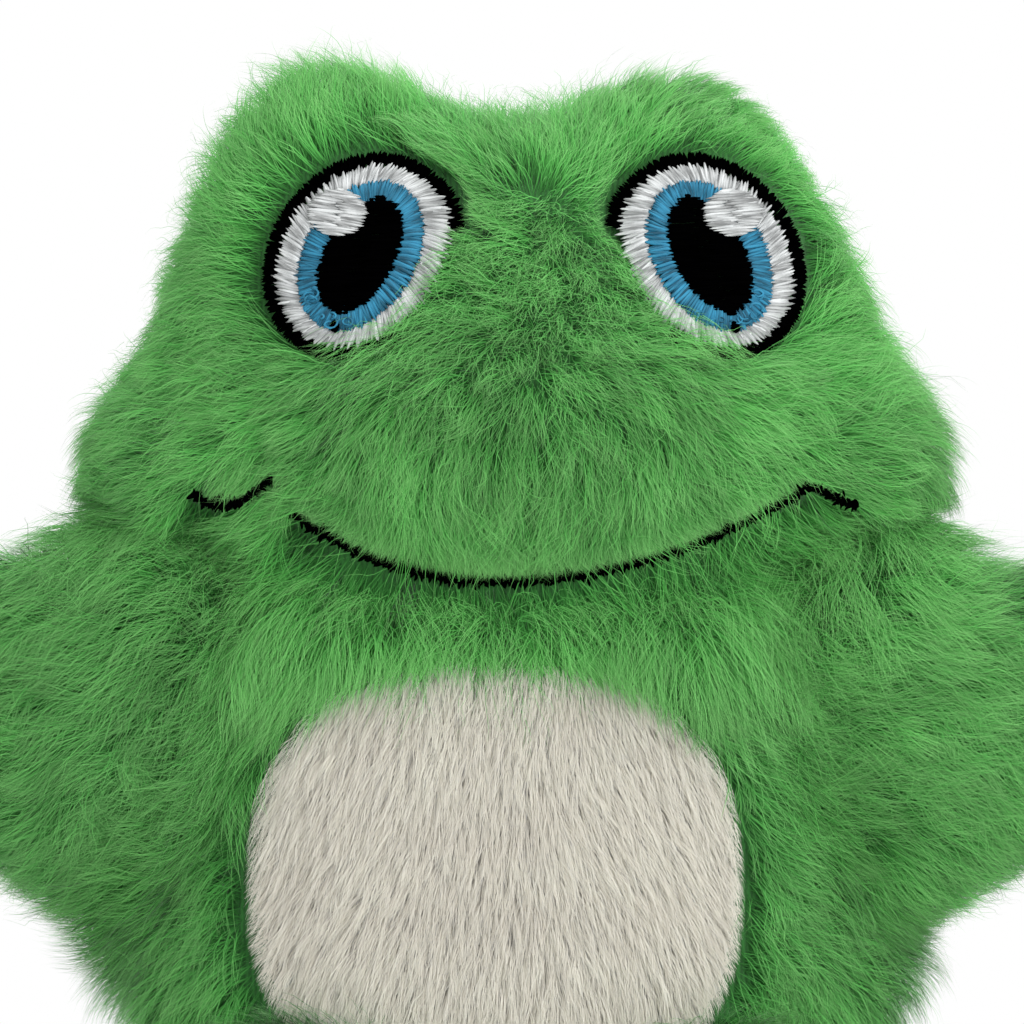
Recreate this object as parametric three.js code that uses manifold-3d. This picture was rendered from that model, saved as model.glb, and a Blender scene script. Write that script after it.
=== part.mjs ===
// A sitting plush frog: pile-fabric panels over loose stuffing, with an embroidered face.
// Millimetres, +Z up. The frog looks along -Y, and left means the left side of a front view (-X).
// The outside of a panel is the surface of its pile, and a depth counts inwards from there.
import * as THREE from 'three';
import { mergeVertices } from 'three/addons/utils/BufferGeometryUtils.js';
import Module from 'manifold-3d';

const wasm = await Module();
wasm.setup();

// Fabric, stuffing and clearances
const fabricThickness = 3.5;
const seamGap = 0.3;
const stuffingGap = 0.4;
const socketGap = 0.75;
const cradleGap = 1.2;
const lapGap = 0.8;
const seatCutDepth = 0.5;
const seamPlane = 2;
const overrun = 200;
const mergeDistance = 1e-5;
const roundFullness = 2;
const searchSteps = 200;
const halvings = 30;

// Head: a jaw that sits in the body, a skull, two brow mounds, two cheeks and a muzzle
const headMiddleHeight = 98;
const jawHalfWidth = 33;
const jawHalfDepth = 25;
const jawDrop = 33;
const jawFullness = 2.7;
const skullHalfWidth = 40.5;
const skullHalfDepth = 25;
const skullHalfHeight = 25;
const skullLift = 2;
const skullFullness = 2.4;
const browSpacing = 39;
const browHalfWidth = 14;
const browHalfDepth = 16;
const browHalfHeight = 14;
const browLift = 19.6;
const browForward = 3;
const cheekSpacing = 68;
const cheekHalfWidth = 16;
const cheekHalfDepth = 21;
const cheekRise = 15.5;
const cheekSink = 4;
const cheekDrop = 14.5;
const cheekFullness = 2.2;
const muzzleHalfWidth = 27;
const muzzleHalfDepth = 20;
const muzzleHalfHeight = 15;
const muzzleForward = 15;
const muzzleDrop = 6;
const muzzleFullness = 2.2;
const noseHalfWidth = 15;
const noseHalfDepth = 14;
const noseHalfHeight = 18;
const noseForward = 13;
const noseLift = 5;
const headBlend = 8;

// Body: belly, chest and seat
const bellyHalfWidth = 43;
const bellyHalfDepth = 27;
const bellyHalfHeight = 23;
const bellyHeight = 29;
const bellyForward = 1;
const bellyFullness = 2.3;
const chestHalfWidth = 39;
const chestHalfDepth = 25;
const chestHalfHeight = 32;
const chestHeight = 48;
const chestFullness = 2.5;
const seatHalfWidth = 37;
const seatHalfDepth = 24;
const seatHalfHeight = 10.5;
const seatFullness = 3;
const bodyBlend = 6;

// Arms: stubs that turn about an upright line at the shoulder
const shoulderSpacing = 84;
const shoulderHeight = 58.5;
const armRootRadius = 16;
const armRootRise = 14;
const armRootDrop = 24;
const armReach = 27;
const armLift = 2;
const armHalfHeight = 17.8;
const armFullness = 2.6;

// Legs: stubs that lift about a level line at the hip
const hipSpacing = 48;
const hipForward = 21;
const legRootRadius = 12.5;
const legReach = 26;
const legHalfWidth = 14;
const legLifts = [0, 20].map(THREE.MathUtils.degToRad);

// Belly patch: an oval of pale pile sewn into the front of the body
const patchHalfWidth = 27;
const patchHalfHeight = 24.2;
const patchFullness = 2.4;
const patchHeight = 41.2;
const patchSideways = -1.9;

// Pellet bag in the seat, behind the legs
const bagHeight = 13;
const bagForward = 6;

// Face: the embroidery sits a little to the right of the head's middle
const faceSideways = 2.5;
const threadTop = 1.3;
const threadBottom = 2.3;
const overlayTop = 0.4;
const overlayBottom = 1;
const pocketDepth = 2.6;
const pocketOpening = 4;
const stitchGap = 0.3;

// Eyes: every ring is an oval that leans inwards at the top
const eyeSpacing = 37.8;
const eyeLift = 12;
const eyeHalfLong = 12.3;
const eyeHalfShort = 10.1;
const eyeLean = THREE.MathUtils.degToRad(36);
const outlineWidth = 1.4;
const irisHalfLong = 8.6;
const irisHalfShort = 6.6;
const irisLean = THREE.MathUtils.degToRad(24);
const irisWidth = 1.9;
const highlightHalfWidth = 3.1;
const highlightHalfHeight = 2.4;
const highlightOutwards = 2.5;
const highlightLift = 4.7;
const speckRadius = 0.55;
const speckOutwards = 2.7;
const speckDrop = 7.7;
const outlineStartShare = 0.38;
const outlineEndShare = 1.09;

// Mouth: one smile and a short tick past each end
const mouthWidth = 1.2;
const mouthSideways = 4;
const smileHalfWidth = 27.2;
const smileSink = 13.7;
const smileDrop = 9.5;
const smileAcrossShares = [-1, -0.7, -0.28, 0.3, 0.7, 1];
const smileDropShares = [0.26, 0.76, 1, 0.84, 0.44, 0];
const tickSink = 13.8;
const leftTick = { space: 3.3, length: 7.8, riseIn: 1.7, riseOut: 0, drop: 1.6 };
const rightTick = { space: 0.5, length: 5.4, riseIn: 0.9, riseOut: -1.5, drop: 0.1 };

// Backing sheets behind the embroidery
const backingThickness = 0.5;
const backingGap = 0.7;
const mouthBackingMargin = 1.5;
const mouthBackingInset = 4;
const eyeBackingMargin = 0.6;

// Closing seam: a hand-sewn ladder of thread down the back
const closingHeight = 24;
const closingLength = 30;
const closingStitch = 2.5;
const closingReach = 0.9;
const threadRadius = 0.3;
const threadDepth = 0.9;
const grooveHalfWidth = 1.6;
const grooveDepth = 1.8;

// Facets around and along each rounded form
const facets = {
  head: [48, 21],
  headInside: [22, 12],
  body: [30, 17],
  bodyInside: [16, 9],
  limb: [20, 11],
  limbInside: [12, 7],
  cradle: 12,
  cradleAround: 26,
  lap: [16, 9],
  patch: 34,
};

const colours = {
  green: '#54a452',
  cream: '#d8d0c6',
  filling: '#eeeeea',
  pellets: '#c9cdd2',
  backing: '#f2f2f0',
  black: '#0a0a0a',
  white: '#e6e6e6',
  blue: '#3f93c0',
};

// Forms: rounded lumps that melt into each other

// One rounded lump. Its half sizes may differ between the negative and the positive side.
function lump(middle, halfLow, halfHigh, fullness) {
  return { middle, halfLow, halfHigh, fullness };
}

// A lump with the same half size on both sides.
function evenLump(x, y, z, halfWidth, halfDepth, halfHeight, fullness = roundFullness) {
  const half = new THREE.Vector3(halfWidth, halfDepth, halfHeight);
  return lump(new THREE.Vector3(x, y, z), half, half, fullness);
}

// How far a point lies beyond a lump, measured on the line from the lump's middle.
function beyondLump(item, point) {
  const offset = point.clone().sub(item.middle);
  let sum = 0;
  for (const axis of ['x', 'y', 'z']) {
    const half = offset[axis] < 0 ? item.halfLow[axis] : item.halfHigh[axis];
    sum += Math.abs(offset[axis] / half) ** item.fullness;
  }
  const share = sum ** (1 / item.fullness);
  return share > 0 ? offset.length() * (1 - 1 / share) : -item.halfLow.z;
}

// How far a point lies beyond a whole form, with the lumps blended where they meet.
function beyondForm(form, point) {
  let beyond = Infinity;
  for (const item of form.lumps) {
    const next = beyondLump(item, point);
    const overlap = Math.max(form.blend - Math.abs(beyond - next), 0) / form.blend;
    beyond = Math.min(beyond, next) - overlap * overlap * form.blend * 0.25;
  }
  return beyond;
}

// Halves the stretch between an inside and an outside point until the wanted depth is found.
function pointAtDepth(form, inside, outside, depth) {
  const low = inside.clone();
  const high = outside.clone();
  for (let turn = 0; turn < halvings; turn += 1) {
    const middle = low.clone().add(high).multiplyScalar(0.5);
    if (beyondForm(form, middle) > -depth) high.copy(middle);
    else low.copy(middle);
  }
  return low;
}

// The point of a form's surface behind x and z, seen from the front (-1) or the back (1).
function pointFromSide(form, side, x, z, depth) {
  const inside = new THREE.Vector3(x, form.middle.y, z);
  const outside = new THREE.Vector3(x, side * overrun, z);
  for (let step = 1; step < searchSteps; step += 1) {
    const trial = outside.clone().lerp(inside, step / searchSteps);
    if (beyondForm(form, trial) <= -depth) return pointAtDepth(form, trial, outside, depth);
  }
  return inside;
}

// Solids

// A closed solid from a geometry, with shared corners joined and collapsed triangles left out.
function solidOf(geometry) {
  geometry.deleteAttribute('normal');
  geometry.deleteAttribute('uv');
  const joined = mergeVertices(geometry, mergeDistance);
  const corners = [];
  for (let i = 0; i < joined.index.count; i += 3) {
    const triangle = [joined.index.getX(i), joined.index.getX(i + 1), joined.index.getX(i + 2)];
    if (new Set(triangle).size === 3) corners.push(...triangle);
  }
  return new wasm.Manifold(new wasm.Mesh({
    numProp: 3,
    vertProperties: Float32Array.from(joined.attributes.position.array),
    triVerts: Uint32Array.from(corners),
  }));
}

// The solid inside one depth of a form: a ball whose points are moved out to the surface.
// Its poles lie at the front and the back, so the facets are finest on the face.
function formSolid(form, depth, [around, along], turn = new THREE.Matrix4()) {
  const geometry = new THREE.SphereGeometry(1, around, along);
  const places = geometry.attributes.position;
  for (let i = 0; i < places.count; i += 1) {
    const direction = new THREE.Vector3().fromBufferAttribute(places, i).normalize();
    const outside = direction.multiplyScalar(overrun).add(form.middle);
    const spot = pointAtDepth(form, form.middle, outside, depth);
    places.setXYZ(i, spot.x, spot.y, spot.z);
  }
  return solidOf(geometry.applyMatrix4(turn));
}

// A turn about a line along the width of the toy.
function levelTurn(middle, angle) {
  const there = new THREE.Matrix4().makeTranslation(middle);
  const back = new THREE.Matrix4().makeTranslation(middle.clone().negate());
  return there.multiply(new THREE.Matrix4().makeRotationX(angle)).multiply(back);
}

// A plain box between two corners.
function blockSolid(low, high) {
  const size = high.clone().sub(low);
  const middle = low.clone().add(high).multiplyScalar(0.5);
  const geometry = new THREE.BoxGeometry(size.x, size.y, size.z);
  return solidOf(geometry.translate(middle.x, middle.y, middle.z));
}

// Everything on one side of a plane across an axis.
function halfSpace(axis, from, to) {
  const low = new THREE.Vector3(-overrun, -overrun, -overrun);
  const high = new THREE.Vector3(overrun, overrun, overrun);
  low[axis] = from;
  high[axis] = to;
  return blockSolid(low, high);
}

// A patch that follows a form's surface between two curves of the front or back view.
// The curves give x and z for shares of their length; the patch runs from one depth to another.
function patchSolid(form, side, near, far, { steps, rows, top, bottom, closed }) {
  const places = [];
  for (let step = 0; step <= steps; step += 1) {
    const start = near(step / steps);
    const end = far(step / steps);
    for (let row = 0; row <= rows; row += 1) {
      const spot = start.clone().lerp(end, row / rows);
      for (const depth of [top, bottom]) {
        places.push(...pointFromSide(form, side, spot.x, spot.y, depth).toArray());
      }
    }
  }
  const corner = (step, row, layer) => (step * (rows + 1) + row) * 2 + layer;
  const index = [];
  const quad = (a, b, c, d) => index.push(a, b, c, a, c, d);
  for (let step = 0; step < steps; step += 1) {
    for (let row = 0; row < rows; row += 1) {
      quad(corner(step, row, 0), corner(step + 1, row, 0),
        corner(step + 1, row + 1, 0), corner(step, row + 1, 0));
      quad(corner(step, row, 1), corner(step, row + 1, 1),
        corner(step + 1, row + 1, 1), corner(step + 1, row, 1));
    }
    quad(corner(step, 0, 0), corner(step, 0, 1), corner(step + 1, 0, 1), corner(step + 1, 0, 0));
    quad(corner(step, rows, 0), corner(step + 1, rows, 0),
      corner(step + 1, rows, 1), corner(step, rows, 1));
  }
  for (let row = 0; row < rows && !closed; row += 1) {
    quad(corner(0, row, 0), corner(0, row + 1, 0), corner(0, row + 1, 1), corner(0, row, 1));
    quad(corner(steps, row, 0), corner(steps, row, 1),
      corner(steps, row + 1, 1), corner(steps, row + 1, 0));
  }
  if (signedVolume(places, index) < 0) index.reverse();
  const geometry = new THREE.BufferGeometry();
  geometry.setAttribute('position', new THREE.Float32BufferAttribute(places, 3));
  geometry.setIndex(index);
  return solidOf(geometry);
}

// Six times the volume inside a list of triangles, negative when they face inwards.
function signedVolume(places, index) {
  let sum = 0;
  for (let i = 0; i < index.length; i += 3) {
    const [a, b, c] = [0, 1, 2].map((k) => new THREE.Vector3().fromArray(places, index[i + k] * 3));
    sum += a.dot(b.cross(c));
  }
  return sum;
}

const plush = new THREE.Group();

// Adds a solid to the toy as a named piece.
function addPiece(name, solid, colour, roughness = 1) {
  const mesh = solid.getMesh();
  const geometry = new THREE.BufferGeometry();
  geometry.setAttribute('position', new THREE.BufferAttribute(mesh.vertProperties, 3));
  geometry.setIndex(new THREE.BufferAttribute(mesh.triVerts, 1));
  geometry.computeVertexNormals();
  const material = new THREE.MeshStandardMaterial({ color: colour, roughness, metalness: 0 });
  const piece = new THREE.Mesh(geometry, material);
  piece.name = name;
  plush.add(piece);
}

// The forms of the head, the body, the arms and the legs
const sides = [{ word: 'left', sign: -1 }, { word: 'right', sign: 1 }];
const headMiddle = new THREE.Vector3(0, 0, headMiddleHeight);
const headForm = {
  middle: headMiddle,
  blend: headBlend,
  lumps: [
    lump(headMiddle, new THREE.Vector3(jawHalfWidth, jawHalfDepth, jawDrop),
      new THREE.Vector3(jawHalfWidth, jawHalfDepth, skullHalfHeight), jawFullness),
    evenLump(0, 0, headMiddleHeight + skullLift,
      skullHalfWidth, skullHalfDepth, skullHalfHeight, skullFullness),
    ...sides.map(({ sign }) => evenLump(sign * browSpacing / 2, -browForward,
      headMiddleHeight + browLift, browHalfWidth, browHalfDepth, browHalfHeight)),
    ...sides.map(({ sign }) => lump(
      new THREE.Vector3(sign * cheekSpacing / 2, 0, headMiddleHeight - cheekDrop),
      new THREE.Vector3(cheekHalfWidth, cheekHalfDepth, cheekSink),
      new THREE.Vector3(cheekHalfWidth, cheekHalfDepth, cheekRise),
      cheekFullness,
    )),
    evenLump(faceSideways, -muzzleForward, headMiddleHeight - muzzleDrop,
      muzzleHalfWidth, muzzleHalfDepth, muzzleHalfHeight, muzzleFullness),
    evenLump(faceSideways / 2, -noseForward, headMiddleHeight + noseLift,
      noseHalfWidth, noseHalfDepth, noseHalfHeight),
  ],
};
const bodyForm = {
  middle: new THREE.Vector3(0, 0, chestHeight),
  blend: bodyBlend,
  lumps: [
    evenLump(0, -bellyForward, bellyHeight, bellyHalfWidth, bellyHalfDepth, bellyHalfHeight,
      bellyFullness),
    evenLump(0, 0, chestHeight, chestHalfWidth, chestHalfDepth, chestHalfHeight, chestFullness),
    evenLump(0, 0, seatHalfHeight - seatCutDepth, seatHalfWidth, seatHalfDepth, seatHalfHeight,
      seatFullness),
  ],
};

// An arm is an egg on a tall root. Its inner half turns freely about the upright line through
// its middle.
function armForm(sign, grown = 0) {
  const halves = (across, depth, height) => (
    new THREE.Vector3(across, depth, height).addScalar(grown)
  );
  const below = halves(armRootRadius, armRootRadius, armRootDrop);
  const above = halves(armRootRadius, armRootRadius, armRootRise);
  const inner = halves(armRootRadius, armRootRadius, armHalfHeight);
  const outer = halves(armReach, armRootRadius, armHalfHeight);
  const middle = new THREE.Vector3(sign * shoulderSpacing / 2, 0, shoulderHeight);
  const raised = new THREE.Vector3(sign * shoulderSpacing / 2, 0, shoulderHeight + armLift);
  const lumps = [
    lump(middle, below, above, roundFullness),
    lump(raised, ...(sign < 0 ? [outer, inner] : [inner, outer]), armFullness),
  ];
  return { middle, blend: bodyBlend, lumps };
}

// A leg is an egg whose back half turns freely about the level line through its middle.
function legForm(sign, grown = 0) {
  const front = new THREE.Vector3(legHalfWidth, legReach, legRootRadius).addScalar(grown);
  const back = new THREE.Vector3(legHalfWidth, legRootRadius, legRootRadius).addScalar(grown);
  const height = legRootRadius - seatCutDepth;
  const middle = new THREE.Vector3(sign * hipSpacing / 2, -hipForward, height);
  return { middle, blend: bodyBlend, lumps: [lump(middle, front, back, roundFullness)] };
}

// The cradle in the top of the body: round about the level line through the head's middle.
function cradleSolid() {
  const profile = [];
  for (let step = 0; step <= facets.cradle; step += 1) {
    const share = -Math.cos(Math.PI * step / facets.cradle);
    const radius = (1 - Math.abs(share) ** jawFullness) ** (1 / jawFullness);
    profile.push(new THREE.Vector2(
      radius * (jawDrop + cradleGap),
      share * (jawHalfWidth + cradleGap),
    ));
  }
  const geometry = new THREE.LatheGeometry(profile, facets.cradleAround);
  return solidOf(geometry.rotateZ(Math.PI / 2).translate(...headMiddle));
}

// Cutting shapes that several pieces share
const cradle = cradleSolid();
const armSockets = sides.map(({ sign }) => formSolid(armForm(sign, socketGap), 0, facets.limb));
const legSockets = sides.flatMap(({ sign }) => {
  const form = legForm(sign, lapGap);
  return legLifts.map((lift) => formSolid(form, 0, facets.lap, levelTurn(form.middle, -lift)));
});
const headRoom = formSolid(headForm, -socketGap, facets.head);
const aboveFloor = halfSpace('z', 0, overrun);
const behindSeam = halfSpace('y', seamPlane + seamGap / 2, overrun);
const beforeSeam = halfSpace('y', -overrun, seamPlane - seamGap / 2);

function cutAll(solid, cutters) {
  return cutters.reduce((rest, cutter) => rest.subtract(cutter), solid);
}

// Curves of the front view: x and z as a two-part vector, for shares of a turn or a length
function ovalCurve(middle, halfLong, halfShort, lean, from = 0, to = 1) {
  const long = new THREE.Vector2(Math.sin(lean), Math.cos(lean));
  const short = new THREE.Vector2(Math.cos(lean), -Math.sin(lean));
  return (share) => {
    const angle = (from + (to - from) * share) * 2 * Math.PI;
    return middle.clone()
      .addScaledVector(long, halfLong * Math.cos(angle))
      .addScaledVector(short, halfShort * Math.sin(angle));
  };
}

// The line beside a curve, at a distance to its side.
function besideCurve(curve, distance) {
  return (share) => {
    const spot = curve.getPoint(share);
    const along = curve.getTangent(share);
    return new THREE.Vector2(spot.x - along.y * distance, spot.y + along.x * distance);
  };
}

const disc = { rows: 2, closed: true };
const ring = { rows: 1, closed: true };
const band = { rows: 1, closed: false };
const thread = { top: threadTop, bottom: threadBottom };
const overlay = { top: overlayTop, bottom: overlayBottom };
const pocket = { top: -pocketOpening, bottom: pocketDepth };
const backingTop = fabricThickness + backingGap;
const backing = { top: backingTop, bottom: backingTop + backingThickness };
const backingPocket = { top: 0, bottom: backing.bottom + stitchGap };
const facePockets = [];
const stuffingPockets = [];
const headFilling = formSolid(headForm, fabricThickness + stuffingGap, facets.headInside);

// A thin sheet pressed between the face panel and the stuffing, and its place in the stuffing.
function addBacking(name, edges, sheet) {
  const solid = patchSolid(headForm, -1, ...edges(0), { ...sheet, ...backing });
  addPiece(name, solid.intersect(headFilling), colours.backing);
  stuffingPockets.push(patchSolid(headForm, -1, ...edges(stitchGap), { ...sheet, ...backingPocket }));
}

// One eye: outline, white, iris, pupil, highlight and a small black speck.
function addEye(word, sign) {
  const middle = new THREE.Vector2(faceSideways + sign * eyeSpacing / 2, headMiddleHeight + eyeLift);
  const lean = -sign * eyeLean;
  const leanInside = -sign * irisLean;
  const point = () => middle;
  const oval = (halfLong, halfShort, tilt, from, to) => {
    const curve = ovalCurve(new THREE.Vector2(0, 0), halfLong, halfShort, Math.abs(tilt), from, to);
    return (share) => new THREE.Vector2(-sign * curve(share).x, curve(share).y).add(middle);
  };
  const outlineArc = [outlineStartShare, outlineEndShare];
  const whiteHalf = [eyeHalfLong - outlineWidth - stitchGap, eyeHalfShort - outlineWidth - stitchGap];
  const pupilHalf = [irisHalfLong - irisWidth - stitchGap, irisHalfShort - irisWidth - stitchGap];
  const outer = (grown) => oval(eyeHalfLong + grown, eyeHalfShort + grown, lean, ...outlineArc);
  const inner = (grown) => oval(eyeHalfLong - outlineWidth - grown,
    eyeHalfShort - outlineWidth - grown, lean, ...outlineArc);
  const white = (grown) => oval(whiteHalf[0] + grown, whiteHalf[1] + grown, lean);
  const iris = (grown) => oval(irisHalfLong + grown, irisHalfShort + grown, leanInside);
  const irisInside = oval(irisHalfLong - irisWidth, irisHalfShort - irisWidth, leanInside);
  const pupil = oval(...pupilHalf, leanInside);

  addPiece(`eye_${word}_outline`, patchSolid(headForm, -1, inner(0), outer(0),
    { ...band, ...thread, steps: 32 }), colours.black, 0.6);
  addPiece(`eye_${word}_white`, patchSolid(headForm, -1, iris(stitchGap), white(0),
    { ...ring, ...thread, steps: 36 }), colours.white, 0.6);
  addPiece(`eye_${word}_iris`, patchSolid(headForm, -1, irisInside, iris(0),
    { ...ring, ...thread, steps: 32 }), colours.blue, 0.6);
  addPiece(`eye_${word}_pupil`, patchSolid(headForm, -1, point, pupil,
    { ...disc, ...thread, steps: 28 }), colours.black, 0.6);

  const spark = new THREE.Vector2(sign * highlightOutwards, highlightLift).add(middle);
  const sparkEdge = ovalCurve(spark, highlightHalfHeight, highlightHalfWidth, 0);
  addPiece(`eye_${word}_highlight`, patchSolid(headForm, -1, () => spark, sparkEdge,
    { ...disc, ...overlay, steps: 20 }), colours.white, 0.6);
  const speck = new THREE.Vector2(sign * speckOutwards, -speckDrop).add(middle);
  const speckEdge = ovalCurve(speck, speckRadius, speckRadius, 0);
  addPiece(`eye_${word}_speck`, patchSolid(headForm, -1, () => speck, speckEdge,
    { ...ring, ...overlay, steps: 10 }), colours.black, 0.6);

  const sheetEdges = (grown) => [point, white(eyeBackingMargin + grown)];
  addBacking(`eye_${word}_backing`, sheetEdges, { rows: 2, closed: true, steps: 22 });

  facePockets.push(patchSolid(headForm, -1, inner(stitchGap), outer(stitchGap),
    { ...band, ...pocket, steps: 32 }));
  facePockets.push(patchSolid(headForm, -1, point, white(stitchGap),
    { ...disc, ...pocket, steps: 36 }));
}

// The smile hangs lower on the left, and each tick is a short hooked line past its end.
function smileCurve(halfWidth) {
  return new THREE.SplineCurve(smileAcrossShares.map((share, i) => new THREE.Vector2(
    mouthSideways + share * halfWidth,
    headMiddleHeight - smileSink - smileDrop * smileDropShares[i],
  )));
}

function tickCurve(sign, tick) {
  const start = mouthSideways + sign * (smileHalfWidth + tick.space);
  const height = headMiddleHeight - tickSink;
  return new THREE.SplineCurve([
    new THREE.Vector2(start, height + tick.riseIn),
    new THREE.Vector2(start + sign * tick.length / 2, height - tick.drop),
    new THREE.Vector2(start + sign * tick.length, height + tick.riseOut),
  ]);
}

function addMouth() {
  const lines = [
    { name: 'mouth_line', curve: smileCurve(smileHalfWidth), steps: 40 },
    ...sides.map(({ word, sign }) => ({
      name: `mouth_tick_${word}`, curve: tickCurve(sign, sign < 0 ? leftTick : rightTick), steps: 10,
    })),
  ];
  for (const { name, curve, steps } of lines) {
    const edges = (distance) => [besideCurve(curve, -distance), besideCurve(curve, distance)];
    addPiece(name, patchSolid(headForm, -1, ...edges(mouthWidth / 2),
      { ...band, ...thread, steps }), colours.black, 0.6);
    const groove = patchSolid(headForm, -1, ...edges(mouthWidth / 2 + stitchGap),
      { ...band, ...pocket, steps });
    facePockets.push(groove);
    stuffingPockets.push(groove);
  }
  const sheetEdges = (grown) => [-1, 1].map((sign) => besideCurve(
    smileCurve(smileHalfWidth - mouthBackingInset + grown),
    sign * (mouthWidth / 2 + mouthBackingMargin + grown),
  ));
  addBacking('mouth_backing', sheetEdges, { rows: 2, closed: false, steps: 24 });
}

// The head: a face panel and a back panel over one mass of stuffing.
function addHead() {
  const outside = formSolid(headForm, 0, facets.head);
  const inside = formSolid(headForm, fabricThickness, facets.headInside);
  const skin = outside.subtract(inside);
  const face = cutAll(skin.intersect(beforeSeam), facePockets);
  addPiece('head_face_panel', face, colours.green);
  addPiece('head_back_panel', skin.intersect(behindSeam), colours.green);
  addPiece('head_stuffing', cutAll(headFilling, stuffingPockets), colours.filling);
}

// The patch and the hole for it are cut along the same oval.
function patchPrism(grown) {
  const press = (share) => Math.sign(share) * Math.abs(share) ** (roundFullness / patchFullness);
  const corners = Array.from({ length: facets.patch }, (_, i) => {
    const angle = 2 * Math.PI * i / facets.patch;
    return new THREE.Vector2(
      patchSideways + press(Math.cos(angle)) * (patchHalfWidth + grown),
      patchHeight + press(Math.sin(angle)) * (patchHalfHeight + grown),
    );
  });
  const geometry = new THREE.ExtrudeGeometry(new THREE.Shape(corners),
    { depth: overrun, bevelEnabled: false });
  return solidOf(geometry.rotateX(Math.PI / 2));
}

// The ladder of thread that closes the back seam, and the groove that it lies in.
function closingThread() {
  const count = Math.round(closingLength / closingStitch);
  const points = [];
  for (let stitch = 0; stitch <= count; stitch += 1) {
    const height = closingHeight + closingLength * stitch / count;
    const reach = stitch % 2 === 0 ? closingReach : -closingReach;
    points.push(pointFromSide(bodyForm, 1, reach, height, threadDepth));
  }
  const path = new THREE.CatmullRomCurve3(points);
  const section = new THREE.Shape();
  section.absarc(0, 0, threadRadius, 0, 2 * Math.PI);
  return solidOf(new THREE.ExtrudeGeometry(section,
    { steps: count * 2, curveSegments: 3, bevelEnabled: false, extrudePath: path }));
}

function closingGroove() {
  const margin = closingStitch;
  const edge = (sign) => (share) => new THREE.Vector2(sign * grooveHalfWidth,
    closingHeight - margin + (closingLength + 2 * margin) * share);
  return patchSolid(bodyForm, 1, edge(-1), edge(1),
    { rows: 1, closed: false, top: -pocketOpening, bottom: grooveDepth, steps: 12 });
}

// The body: one front panel with the pale patch, two back panels, stuffing and a pellet bag.
function addBody() {
  const openings = [cradle, ...armSockets, ...legSockets];
  const outside = formSolid(bodyForm, 0, facets.body).intersect(aboveFloor);
  const inside = formSolid(bodyForm, fabricThickness, facets.bodyInside);
  const skin = cutAll(outside.subtract(inside), openings);
  const front = skin.intersect(beforeSeam);
  addPiece('body_front_panel', front.subtract(patchPrism(seamGap)), colours.green);
  addPiece('belly_patch', front.intersect(patchPrism(0)), colours.cream);
  const groove = closingGroove();
  const back = skin.intersect(behindSeam).subtract(groove);
  addPiece('body_back_panel_left', back.intersect(halfSpace('x', -overrun, -seamGap / 2)), colours.green);
  addPiece('body_back_panel_right', back.intersect(halfSpace('x', seamGap / 2, overrun)), colours.green);
  addPiece('closing_thread', closingThread(), colours.green);

  const filling = cutAll(formSolid(bodyForm, fabricThickness + stuffingGap, facets.bodyInside), openings);
  const bagSpace = (grown) => blockSolid(
    new THREE.Vector3(-overrun, -bagForward - grown, -overrun),
    new THREE.Vector3(overrun, overrun, bagHeight + grown),
  );
  addPiece('body_stuffing', filling.subtract(bagSpace(stuffingGap)), colours.filling);
  addPiece('pellet_bag', filling.intersect(bagSpace(0)), colours.pellets, 0.8);
}

// An arm: a front and a back panel, cut by the larger head, over its stuffing.
function addArm(word, sign) {
  const skin = formSolid(armForm(sign), 0, facets.limb)
    .subtract(formSolid(armForm(sign, -fabricThickness), 0, facets.limbInside))
    .subtract(headRoom);
  addPiece(`arm_${word}_front_panel`, skin.intersect(beforeSeam), colours.green);
  addPiece(`arm_${word}_back_panel`, skin.intersect(behindSeam), colours.green);
  const filling = formSolid(armForm(sign, -fabricThickness - stuffingGap), 0, facets.limbInside);
  addPiece(`arm_${word}_stuffing`, filling.subtract(headRoom), colours.filling);
}

// A leg: an upper and a lower panel over its stuffing, flat underneath where it stands.
function addLeg(word, sign) {
  const form = legForm(sign);
  const skin = formSolid(form, 0, facets.limb)
    .subtract(formSolid(legForm(sign, -fabricThickness), 0, facets.limbInside))
    .intersect(aboveFloor);
  const upper = halfSpace('z', form.middle.z + seamGap / 2, overrun);
  const lower = halfSpace('z', -overrun, form.middle.z - seamGap / 2);
  addPiece(`leg_${word}_upper_panel`, skin.intersect(upper), colours.green);
  addPiece(`leg_${word}_lower_panel`, skin.intersect(lower), colours.green);
  addPiece(`leg_${word}_stuffing`,
    formSolid(legForm(sign, -fabricThickness - stuffingGap), 0, facets.limbInside), colours.filling);
}

for (const { word, sign } of sides) addEye(word, sign);
addMouth();
addHead();
addBody();
for (const { word, sign } of sides) addArm(word, sign);
for (const { word, sign } of sides) addLeg(word, sign);

export default plush;
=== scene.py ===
"""Plush frog: the looks of a small sitting plush frog of long green pile with an embroidered face.

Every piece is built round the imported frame. Sizes are in millimetres until a mesh is made.
"""

import math
from collections import namedtuple

import bpy
import numpy as np
from bpy.props import FloatProperty, FloatVectorProperty, IntProperty, PointerProperty
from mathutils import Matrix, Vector
from mathutils.bvhtree import BVHTree
from mathutils.kdtree import KDTree


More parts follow.
